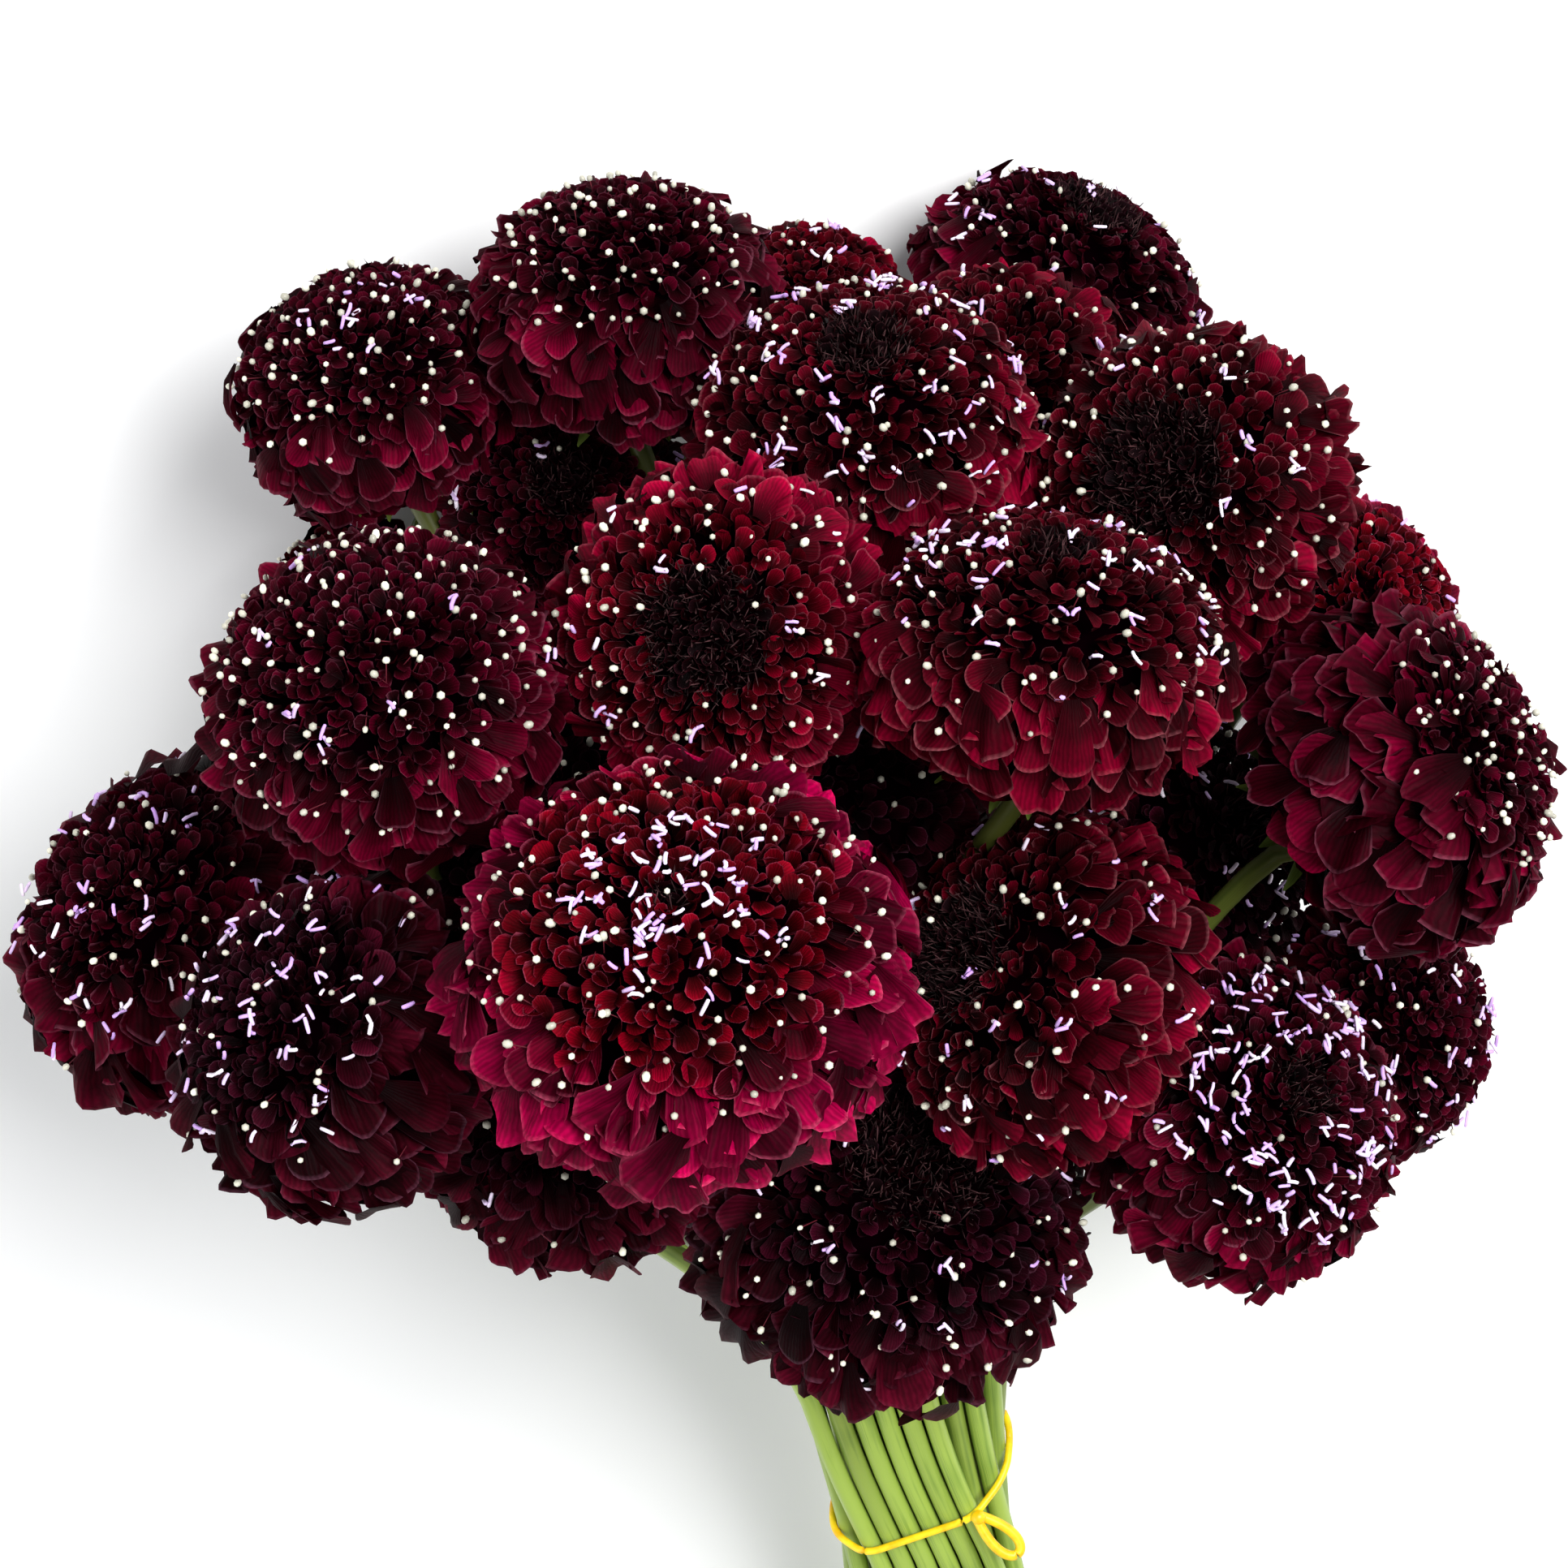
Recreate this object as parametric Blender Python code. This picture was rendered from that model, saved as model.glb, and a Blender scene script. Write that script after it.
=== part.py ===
"""A hand-tied bunch of double dark scabiosas, lying on its side, in metres with +Z up.

Twenty-nine stems cross in one elastic tie. Each stem carries a globe of overlapping florets.
The back globes and the cut ends of the lowest stems rest on the plane z = 0, the blooms point
to +Y, and the front of the bunch looks up. The origin is under the middle of the bunch.
"""
import math

import bmesh
import bpy
import numpy as np
from mathutils import Vector

MM = 0.001
GAP = 0.3

# The bunch is laid out as seen by someone who looks down on it: right, up and near, in mm from
# the middle of that view, at the depth of the front bloom. The look tilts from straight down
# towards the blooms' side.
LOOK_TILT = math.radians(20.0)
VIEW_MIDDLE = np.array([2.0, 178.0, 195.0])

# Every bloom: right, up, near, radius, and the way its crown points as right, up, near.
BLOOMS = {
    "bloom_01": (-30, 90, -85, 30, (0.0, 0.75, 0.66)),
    "bloom_02": (-79, 76, -96, 27.5, (-0.19, 0.67, 0.72)),
    "bloom_03": (4, 91, -120, 22, (0.0, 0.6, 0.8)),
    "bloom_04": (55, 98, -140, 30, (0.39, 0.8, 0.46)),
    "bloom_05": (15, 65, -61, 32, (-0.03, 0.67, 0.74)),
    "bloom_06": (42, 76, -99, 25, (-0.3, 0.3, 0.9)),
    "bloom_07": (76, 54, -62, 31, (-0.35, 0.21, 0.91)),
    "bloom_08": (-43, 55, -115, 24, (0.0, 0.25, 0.97)),
    "bloom_09": (-72, 15, -29, 33, (-0.15, 0.5, 0.85)),
    "bloom_10": (-11, 28, -31, 30, (-0.15, -0.04, 0.99)),
    "bloom_11": (46, 21, -18, 31, (0.09, 0.86, 0.50)),
    "bloom_12": (107, 31, -97, 24, (0.5, 0.3, 0.8)),
    "bloom_13": (114, 1, -60, 33, (0.75, 0.35, 0.55)),
    "bloom_14": (-114, -29, -88, 35, (-0.46, 0.48, 0.75)),
    "bloom_15": (-80, -47, -30, 32, (-0.55, 0.38, 0.74)),
    "bloom_16": (-18, -34, 0, 40, (-0.06, 0.5, 0.86)),
    "bloom_17": (49, -37, -50, 31, (-0.75, 0.28, 0.6)),
    "bloom_18": (77, -14, -114, 24, (0.67, 0.35, 0.66)),
    "bloom_19": (86, -64, -80, 32, (0.48, 0.31, 0.82)),
    "bloom_20": (117, -48, -126, 24, (0.6, 0.2, 0.77)),
    "bloom_21": (19, -82, -81, 38, (0.24, 0.46, 0.85)),
    "bloom_22": (-38, -61, -53, 30, (-0.1, 0.5, 0.86)),
    "bloom_23": (-78, 75, -154, 28, (-0.45, 0.5, 0.1)),
    "bloom_24": (-89, 27, -168, 28, (-0.8, 0.15, 0.15)),
    "bloom_25": (-24, 84, -151, 28, (-0.1, 0.9, 0.1)),
    "bloom_26": (34, 58, -160, 28, (0.1, 0.75, 0.0)),
    "bloom_27": (100, 42, -162, 28, (0.8, 0.4, 0.15)),
    "bloom_28": (7, -4, -76, 28, (0.0, 0.3, 0.95)),
    "bloom_29": (-50, -12, -76, 28, (-0.3, 0.3, 0.9)),
}

# One bloom, in parts of its radius: the outline from the crown to the underside as pairs of
# distance from the axis and height, and how deep the notches between florets are at each ring.
OUTLINE = [(0.17, 0.80), (0.37, 0.77), (0.56, 0.69), (0.73, 0.57), (0.87, 0.42), (0.97, 0.24),
           (1.03, 0.03), (1.03, -0.20), (0.96, -0.43), (0.82, -0.62), (0.42, -0.52)]
NOTCH = [0.04, 0.06, 0.07, 0.08, 0.09, 0.10, 0.12, 0.14, 0.15, 0.12, 0.0]
CROWN_HEIGHT = 0.77
SEAT_HEIGHT = -0.52
FLORETS_ROUND = 18
TIP_DROOP = 0.30
PETAL_UNEVEN = 0.02
TURN_UNEVEN = 0.12

# The few stamens modelled on a bloom: their height in mm, the belt that they stand in as
# cosines of the angle from the crown, how far apart they stand in parts of the bloom's radius,
# and how far a spike's foot is drawn in from its floret's edges.
STAMENS = 6
STAMEN_LENGTH = 2.6
STAMEN_BELT = (0.55, 0.93)
STAMENS_APART = 0.36
STAMEN_INSET = 0.27
STAMEN_FOOT = 0.165

# One stem, in mm, and the cup under the bloom as pairs of distance down the stem and radius,
# the radius in parts of the bloom's.
STEM_RADIUS = 2.1
CUP = [(0.0, 0.27), (2.5, 0.22), (6.0, 0.11)]
STEM_BELOW_TIE = 230.0
CUT_UNEVEN = 3.0

# The bundle: where its middle passes the tie, as right, up, near, and how it runs from there.
# Its stems lie in rows. Going to the cut ends, each row slides to the right by as much as it
# lies above the middle, so that the rows cross in the tie.
TIE_PLACE = (30.0, -156.0, -195.0)
SLOPE_AT_TIE = math.radians(20.0)
SLOPE_AT_CUT = math.radians(7.44)
LEAN = math.radians(8.0)
STEM_ROWS = [7, 8, 8, 6]
PITCH = 4.55
ROW_SLIDE = 1.25
SLIDE_LENGTH = 40.0
SPREAD_AT_CUT = 0.3
JOIN = 60.0
SPREAD_AT_JOIN = 0.06
JOIN_REACH = (26.0, 10.0)

# How the stems find their way between the blooms: a smooth curve, bent clear of the blooms and
# of the other stems' points in many small rounds. In each round a point goes this part of the
# way to its neighbours' middle, out of a bloom, and away from another stem, at most MOST_STEP.
UNDER_BLOOM = 20.0
CURVE_PULL = 0.9
ROUTE_POINTS = 30
ROUTE_ROUNDS = 180
ROUTE_CLEAR = 5.4
SMOOTHING = 0.3
BLOOM_PUSH = 0.8
STEM_PUSH = 0.35
MOST_STEP = 1.5
ENDS_KEPT = (3, 4)

# The room that a bloom takes from the stems, in parts of its radius: wide, above and below.
BLOOM_ROOM = (0.93, 0.82, 0.62)
ROOM_UNDER = 1.0
FLOOR_CLEAR = 0.5

# A stem's corners: three where its way bends most, starting under the cup, and then fixed
# distances from the tie. Corners above the bundle are eased until no two stems run closer
# than EASE_CLEAR.
WAY_CORNERS = 3
BEND_WEIGHT = 1.2
BELOW_CUP = 6.0
BUNDLE_STATIONS = [JOIN, 30.0, 8.0, -14.0, -90.0]
EASE_ROUNDS = 120
EASE_CLEAR = 4.58

# A stem presses a bloom flat along the run nearest to it, at these shares of the run from the
# nearest point. Planes further off than NEAR_PLANE bloom radii do nothing.
PRESS_SHARES = np.array([-0.2, -0.1, 0.0, 0.1, 0.2])
NEAR_PLANE = 1.1

# The elastic tie, in mm: a taut flat ring that lies aslant, a knot on its upper side, and a
# loose teardrop loop from the knot. Shares of the way round start at the right side and go
# over the top.
ELASTIC_RADIUS = 0.7
RING_POINTS = 36
RING_ALONG = 10.0
RING_SLANT_RIGHT = 0.30
RING_SLANT_UP = -0.40
KNOT_ROUND = 0.15
KNOT_RADIUS = 1.7
LOOP_LENGTH = 9.8
LOOP_LIFT = 8.0
LOOP_WIDTH = 4.6
LOOP_LEAN = math.radians(24.0)
LOOP_POINTS = 17
TEARDROP = 0.65


def to_floor(place):
    """Turn right, up, near into x, y, z over the floor."""
    right, up, near = place
    cos, sin = math.cos(LOOK_TILT), math.sin(LOOK_TILT)
    return np.array([right, up * cos + near * sin, near * cos - up * sin])


def unit(vectors):
    """Vectors divided by their lengths."""
    vectors = np.asarray(vectors, float)
    return vectors / np.linalg.norm(vectors, axis=-1, keepdims=True)


NAMES = list(BLOOMS)
CENTRE = np.array([to_floor(row[:3]) + VIEW_MIDDLE for row in BLOOMS.values()])
RADIUS = np.array([float(row[3]) for row in BLOOMS.values()])
CROWN = unit([to_floor(row[4]) for row in BLOOMS.values()])
TIE = to_floor(TIE_PLACE) + VIEW_MIDDLE
SEAT = CENTRE + CROWN * (SEAT_HEIGHT * RADIUS - GAP)[:, None]
COUNT = len(NAMES)


def bundle_frame(along):
    """The bundle's middle, its side and its upper side, along mm from the tie to the blooms.

    From the tie to the cut ends the middle is an arc that flattens from one slope to the
    other. Towards the blooms it is straight.
    """
    along = np.asarray(along, float)
    bend = (SLOPE_AT_TIE - SLOPE_AT_CUT) / STEM_BELOW_TIE
    slope = SLOPE_AT_TIE + bend * np.minimum(along, 0.0)
    forward = np.where(along < 0, (np.sin(slope) - math.sin(SLOPE_AT_TIE)) / bend,
                       along * math.cos(SLOPE_AT_TIE))
    rise = np.where(along < 0, (math.cos(SLOPE_AT_TIE) - np.cos(slope)) / bend,
                    along * math.sin(SLOPE_AT_TIE))
    heading = np.array([-math.sin(LEAN), math.cos(LEAN), 0.0])
    side = np.array([math.cos(LEAN), math.sin(LEAN), 0.0])
    upward = np.array([0.0, 0.0, 1.0])
    middle = TIE + forward[..., None] * heading + rise[..., None] * upward
    upper = np.cos(slope)[..., None] * upward - np.sin(slope)[..., None] * heading
    return middle, side, upper


def in_rows(across, along):
    """Where a stem that crosses the tie at across lies in the bundle's cross-section there."""
    right, up = across
    slide = ROW_SLIDE * up * np.tanh(along / SLIDE_LENGTH)
    spread = 1.0 + np.where(along < 0, -SPREAD_AT_CUT * along / STEM_BELOW_TIE,
                            SPREAD_AT_JOIN * (along / JOIN) ** 2)
    return spread * (right - slide), spread * up


def in_bundle(across, along):
    """The place of a stem that crosses the tie at across, along mm from the tie."""
    along = np.asarray(along, float)
    middle, side, upper = bundle_frame(along)
    right, up = in_rows(across, along)
    return middle + right[..., None] * side + up[..., None] * upper


def places_in_tie():
    """The stems' places in the tie: rows of a pitch apart, each row centred."""
    return np.array([(PITCH * (i - (stems - 1) / 2), PITCH * (row - (len(STEM_ROWS) - 1) / 2))
                     for row, stems in enumerate(STEM_ROWS) for i in range(stems)])


def share_places():
    """Give each stem the place in the tie that lies nearest its way to the bloom.

    Two stems swap places for as long as that brings them nearer, so that none cross.
    """
    middle, side, upper = bundle_frame(0.0)
    ahead = np.cross(upper, side)
    ahead *= np.sign(ahead @ (CENTRE.mean(0) - middle))
    way = SEAT - UNDER_BLOOM * CROWN - middle
    fan = np.stack([way @ side, way @ upper], 1) / (way @ ahead)[:, None]
    wanted = fan / np.abs(fan).max(0) * JOIN_REACH
    places = places_in_tie()
    joined = np.array([in_rows(across, JOIN) for across in places])
    cost = ((wanted[:, None] - joined[None]) ** 2).sum(-1)
    order = np.arange(COUNT)
    swapped = True
    while swapped:
        swapped = False
        for i in range(COUNT):
            for j in range(i + 1, COUNT):
                now = cost[i, order[i]] + cost[j, order[j]]
                if cost[i, order[j]] + cost[j, order[i]] < now - 1e-9:
                    order[i], order[j] = order[j], order[i]
                    swapped = True
    return places[order]


def smooth_ways(places):
    """A smooth curve for each stem, from under its bloom to where it joins the bundle."""
    u = np.linspace(0.0, 1.0, ROUTE_POINTS)[:, None]
    ways = []
    for seat, crown, across in zip(SEAT, CROWN, places):
        end, before = in_bundle(across, np.array([JOIN, JOIN - 2.0]))
        length = CURVE_PULL * np.linalg.norm(end - seat)
        ways.append((2 * u ** 3 - 3 * u ** 2 + 1) * seat - (u ** 3 - 2 * u ** 2 + u) * crown * length
                    + (3 * u ** 2 - 2 * u ** 3) * end + (u ** 3 - u ** 2) * unit(before - end) * length)
    return np.array(ways)


def clear_ways(ways):
    """Bend the stems clear of the blooms and of each other, a little each round.

    Each point is drawn to the middle of its neighbours, pushed out of any bloom but its own,
    and away from other stems' points nearer than ROUTE_CLEAR. The ends stay.
    """
    owner = np.repeat(np.arange(COUNT), ROUTE_POINTS)
    same = owner[:, None] == owner[None]
    first, last = ENDS_KEPT
    part_wide, part_above, part_below = BLOOM_ROOM
    for _ in range(ROUTE_ROUNDS):
        moved = ways.copy()
        moved[:, 1:-1] += SMOOTHING * (ways[:, 2:] + ways[:, :-2] - 2 * ways[:, 1:-1])
        for k in range(COUNT):
            off = moved - CENTRE[k]
            height = off @ CROWN[k]
            across = off - height[..., None] * CROWN[k]
            wide = part_wide * RADIUS[k] + STEM_RADIUS
            thick = np.where(height > 0, part_above, part_below) * RADIUS[k] + STEM_RADIUS + ROOM_UNDER
            depth = 1.0 - np.sqrt((across ** 2).sum(-1) / wide ** 2 + (height / thick) ** 2)
            depth[k] = 0.0
            out = unit(across / wide ** 2 + (height / thick ** 2)[..., None] * CROWN[k])
            moved += out * (BLOOM_PUSH * np.maximum(depth, 0.0) * thick)[..., None]
        flat = moved.reshape(-1, 3)
        apart = flat[:, None] - flat[None]
        far = np.sqrt((apart ** 2).sum(-1)) + 1e-9
        far[same] = ROUTE_CLEAR
        step = ((STEM_PUSH * np.maximum(ROUTE_CLEAR - far, 0.0) / far)[..., None] * apart).sum(1)
        step *= np.minimum(1.0, MOST_STEP / (np.linalg.norm(step, axis=1) + 1e-9))[:, None]
        moved += step.reshape(moved.shape)
        moved[..., 2] = np.maximum(moved[..., 2], STEM_RADIUS + FLOOR_CLEAR)
        moved[:, :first] = ways[:, :first]
        moved[:, -last:] = ways[:, -last:]
        ways = moved
    return ways


def stem_lines(places, ways):
    """Each stem's line from the bloom to the cut, in straight runs, with the radius at each corner.

    It runs straight down through the cup, then along its way with corners where the way bends
    most, and then in step with the other stems through the tie to the cut.
    """
    draw = np.random.default_rng(7)
    lines = []
    for seat, crown, radius, across, way in zip(SEAT, CROWN, RADIUS, places, ways):
        cup = [seat - crown * down for down, _ in CUP]
        steps = np.diff(way, axis=0)
        turns = np.linalg.norm(np.diff(unit(steps), axis=0), axis=1)
        travelled = np.concatenate([[0.0], np.cumsum(np.linalg.norm(steps, axis=1))])
        bending = np.concatenate([[0.0], np.cumsum(turns), [turns.sum()]])
        measure = travelled / travelled[-1] + BEND_WEIGHT * bending / max(bending[-1], 1e-6)
        first = np.interp(CUP[-1][0] + BELOW_CUP, travelled, measure)
        marks = np.linspace(first, measure[-1], WAY_CORNERS + 1)[:-1]
        corners = [[np.interp(mark, measure, way[:, k]) for k in range(3)] for mark in marks]
        cut = np.array(BUNDLE_STATIONS + [-STEM_BELOW_TIE + draw.uniform(0.0, CUT_UNEVEN)])
        line = np.array(cup + corners + list(in_bundle(across, cut)))
        wide = [part * radius for _, part in CUP]
        lines.append((line, wide + [STEM_RADIUS] * (len(line) - len(wide))))
    return lines


def ease_apart(lines):
    """Move the corners above the tie so that no two stems run closer than EASE_CLEAR.

    For two straight runs p + s u and q + t v the nearest points come from clamping s, then t,
    then s again to 0..1. Each corner moves by its share of what the nearest points lack.
    """
    corners = np.array([line for line, _ in lines])
    free = np.zeros(corners.shape[1])
    free[len(CUP):len(CUP) + WAY_CORNERS] = 1.0
    runs = corners.shape[1] - 1
    owner = np.repeat(np.arange(COUNT), runs)
    i, j = np.nonzero(owner[:, None] < owner[None])
    for _ in range(EASE_ROUNDS):
        start = corners[:, :-1].reshape(-1, 3)
        span = (corners[:, 1:] - corners[:, :-1]).reshape(-1, 3)
        u, v, between = span[i], span[j], start[i] - start[j]
        uu, uv, vv = (u * u).sum(1), (u * v).sum(1), (v * v).sum(1)
        ub, vb = (u * between).sum(1), (v * between).sum(1)
        s = np.clip((uv * vb - vv * ub) / np.maximum(uu * vv - uv ** 2, 1e-9), 0.0, 1.0)
        t = np.clip((uv * s + vb) / vv, 0.0, 1.0)
        s = np.clip((uv * t - ub) / uu, 0.0, 1.0)
        apart = between + s[:, None] * u - t[:, None] * v
        far = np.linalg.norm(apart, axis=1)
        push = (0.5 * np.maximum(EASE_CLEAR - far, 0.0) / far)[:, None] * apart
        move = np.zeros((COUNT * runs, 2, 3))
        np.add.at(move, (i, 0), push * (1.0 - s)[:, None])
        np.add.at(move, (i, 1), push * s[:, None])
        np.add.at(move, (j, 0), -push * (1.0 - t)[:, None])
        np.add.at(move, (j, 1), -push * t[:, None])
        move = move.reshape(COUNT, runs, 2, 3)
        corners[:, :-1] += move[:, :, 0] * free[None, :-1, None]
        corners[:, 1:] += move[:, :, 1] * free[None, 1:, None]
    return [(line, wide) for line, (_, wide) in zip(corners, lines)]


def pressed_planes(index, lines):
    """The planes that a bloom may reach, as outward directions and distances from its middle.

    Two blooms meet in the plane from which both their spheres look equally far. A stem that
    passes another bloom presses it flat where it passes.
    """
    centre, radius = CENTRE[index], RADIUS[index]
    planes = []
    for other in range(COUNT):
        if other == index:
            continue
        far = np.linalg.norm(CENTRE[other] - centre)
        reach = (far ** 2 + radius ** 2 - RADIUS[other] ** 2) / (2 * far) - GAP / 2
        planes.append(((CENTRE[other] - centre) / far, reach))
        line = lines[other][0]
        for start, end in zip(line[:-1], line[1:]):
            span = end - start
            share = np.clip((centre - start) @ span / (span @ span), 0.0, 1.0)
            for part in np.clip(share + PRESS_SHARES, 0.0, 1.0):
                off = start + part * span - centre
                away = np.linalg.norm(off)
                planes.append((off / away, away - STEM_RADIUS - 1.5 * GAP))
    return [(way, reach) for way, reach in planes if reach < NEAR_PLANE * radius]


def press(points, planes):
    """Draw points that reach past a plane back towards the bloom's middle, onto the plane."""
    for way, reach in planes:
        height = points @ way
        over = height > reach
        points[over] *= (reach / height[over])[:, None]
    return points


def material(name, colour, roughness):
    """A Principled material, its colour given in linear red, green and blue."""
    made = bpy.data.materials.new(name)
    made.use_nodes = True
    shader = made.node_tree.nodes["Principled BSDF"]
    shader.inputs["Base Color"].default_value = (*colour, 1.0)
    shader.inputs["Roughness"].default_value = roughness
    shader.inputs["Metallic"].default_value = 0.0
    made.diffuse_color = (*colour, 1.0)
    return made


def bloom(index, lines, parts, finish):
    """A globe of overlapping florets: a sphere whose vertices are by turns tips and notches.

    Ring k of the sphere takes the outline's point k. Every second vertex is a floret's tip,
    which droops towards the next ring, and those between are drawn in by the notch's depth,
    so that each tip overhangs the notch below it like a shingle.
    """
    draw = np.random.default_rng(100 + index)
    rings = len(OUTLINE) + 1
    mesh = bmesh.new()
    bmesh.ops.create_uvsphere(mesh, u_segments=FLORETS_ROUND, v_segments=rings, radius=1.0)
    axis = Vector(CROWN[index])
    turned = axis.to_track_quat("Z", "Y").to_matrix()
    places = []
    for vert in mesh.verts:
        ring = round(math.acos(max(-1.0, min(1.0, vert.co.z))) / math.pi * rings)
        if ring in (0, rings):
            places.append(Vector((0.0, 0.0, CROWN_HEIGHT if ring == 0 else SEAT_HEIGHT)))
            continue
        angle = math.atan2(vert.co.y, vert.co.x)
        step = round(angle / math.tau * FLORETS_ROUND)
        out, height = OUTLINE[ring - 1]
        notch = NOTCH[ring - 1]
        if notch:
            angle += draw.uniform(-TURN_UNEVEN, TURN_UNEVEN) * math.tau / FLORETS_ROUND
            scale = 1.0 + draw.uniform(-PETAL_UNEVEN, PETAL_UNEVEN)
            if (step + ring) % 2:
                scale -= notch
            else:
                below = OUTLINE[ring] if ring < len(OUTLINE) - 1 else (out, height - 0.2)
                out += TIP_DROOP * (below[0] - out)
                height += TIP_DROOP * (below[1] - height)
            out, height = out * scale, height * scale
        places.append(Vector((out * math.cos(angle), out * math.sin(angle), height)))
    points = np.array([turned @ place for place in places]) * RADIUS[index]
    planes = pressed_planes(index, lines)
    for vert, point in zip(mesh.verts, press(points, planes)):
        vert.co = point
    bmesh.ops.triangulate(mesh, faces=mesh.faces[:], quad_method="SHORT_EDGE")
    raise_stamens(mesh, axis, RADIUS[index], planes, draw)
    rest_on_floor(mesh, -CENTRE[index][2])
    return place_mesh(NAMES[index], mesh, CENTRE[index], parts, finish)


def raise_stamens(mesh, axis, radius, planes, draw):
    """Raise a few stamens from faces round the crown, each a three-sided spike."""
    mesh.faces.ensure_lookup_table()
    mesh.normal_update()
    low, high = STAMEN_BELT
    ring = [face for face in mesh.faces
            if low < face.calc_center_median().normalized().dot(axis) < high]
    # Triangulating leaves the faces in another order on each run, so they are sorted by
    # place before the draw, which makes the same flower every time.
    ring.sort(key=lambda face: tuple(round(value, 3) for value in face.calc_center_median()))
    picked = draw.permutation(len(ring))
    taken = []
    for face in [ring[k] for k in picked]:
        middle = face.calc_center_median()
        tip = middle + middle.normalized() * STAMEN_LENGTH
        if any(tip.dot(Vector(way)) > reach - 1.0 for way, reach in planes):
            continue
        if any((middle - other).length < STAMENS_APART * radius for other in taken):
            continue
        taken.append(middle)
        width = math.sqrt(face.calc_area())
        bmesh.ops.inset_individual(mesh, faces=[face], thickness=STAMEN_INSET * width - STAMEN_FOOT)
        spike = bmesh.ops.poke(mesh, faces=[face])
        spike["verts"][0].co = tip
        if len(taken) == STAMENS:
            break


def rest_on_floor(mesh, floor):
    """Cut a bloom flat where it presses on the floor, and close the cut."""
    if min(vert.co.z for vert in mesh.verts) >= floor:
        return
    everything = mesh.verts[:] + mesh.edges[:] + mesh.faces[:]
    bmesh.ops.bisect_plane(mesh, geom=everything, plane_co=(0.0, 0.0, floor),
                           plane_no=(0.0, 0.0, -1.0), clear_outer=True)
    bmesh.ops.holes_fill(mesh, edges=[edge for edge in mesh.edges if edge.is_boundary], sides=0)
    bmesh.ops.recalc_face_normals(mesh, faces=mesh.faces[:])


def place_mesh(name, mesh, centre, parts, finish):
    """Make an object of a mesh in mm about a centre, with its origin there."""
    bmesh.ops.scale(mesh, vec=(MM, MM, MM), verts=mesh.verts[:])
    data = bpy.data.meshes.new(name)
    mesh.to_mesh(data)
    mesh.free()
    data.materials.append(finish)
    made = bpy.data.objects.new(name, data)
    made.location = Vector(centre) * MM
    parts.objects.link(made)
    return made


def tube(name, points, radii, parts, finish, sides=6, closed=False):
    """A round bar along straight runs, with its own radius at each corner."""
    curve = bpy.data.curves.new(name, "CURVE")
    curve.dimensions = "3D"
    curve.bevel_depth = MM
    curve.bevel_resolution = (sides - 4) // 2
    curve.use_fill_caps = not closed
    line = curve.splines.new("POLY")
    line.points.add(len(points) - 1)
    line.use_cyclic_u = closed
    for corner, point, radius in zip(line.points, points, radii):
        corner.co = (*(Vector(point) * MM), 1.0)
        corner.radius = radius
    curve.materials.append(finish)
    made = bpy.data.objects.new(name, curve)
    parts.objects.link(made)
    return made


def round_bundle(places, share, along, clear):
    """The place of a taut thread this share of the way round the stems, clear of them.

    The thread leans on the outermost stem in each direction and runs straight between them.
    Returned with it is how far right and up it lies from the bundle's middle.
    """
    middle, side, upper = bundle_frame(along)
    stems = np.array([in_rows(across, along) for across in places])
    angle = np.linspace(0.0, math.tau, 121)
    out = np.stack([np.cos(angle), np.sin(angle)], 1)
    thread = stems[(stems @ out.T).argmax(0)] + (STEM_RADIUS + 1.5 * GAP + clear) * out
    way = np.concatenate([[0.0], np.cumsum(np.linalg.norm(np.diff(thread, axis=0), axis=1))])
    right, up = [np.interp(share % 1.0 * way[-1], way, thread[:, k]) for k in range(2)]
    return middle + right * side + up * upper, (right, up)


def ring_along(places, share):
    """How far along the bundle the flat, slanting ring lies at this share of the way round."""
    along = RING_ALONG
    for _ in range(3):
        _, (right, up) = round_bundle(places, share, along, ELASTIC_RADIUS)
        along = RING_ALONG + RING_SLANT_RIGHT * right + RING_SLANT_UP * up
    return along


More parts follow.
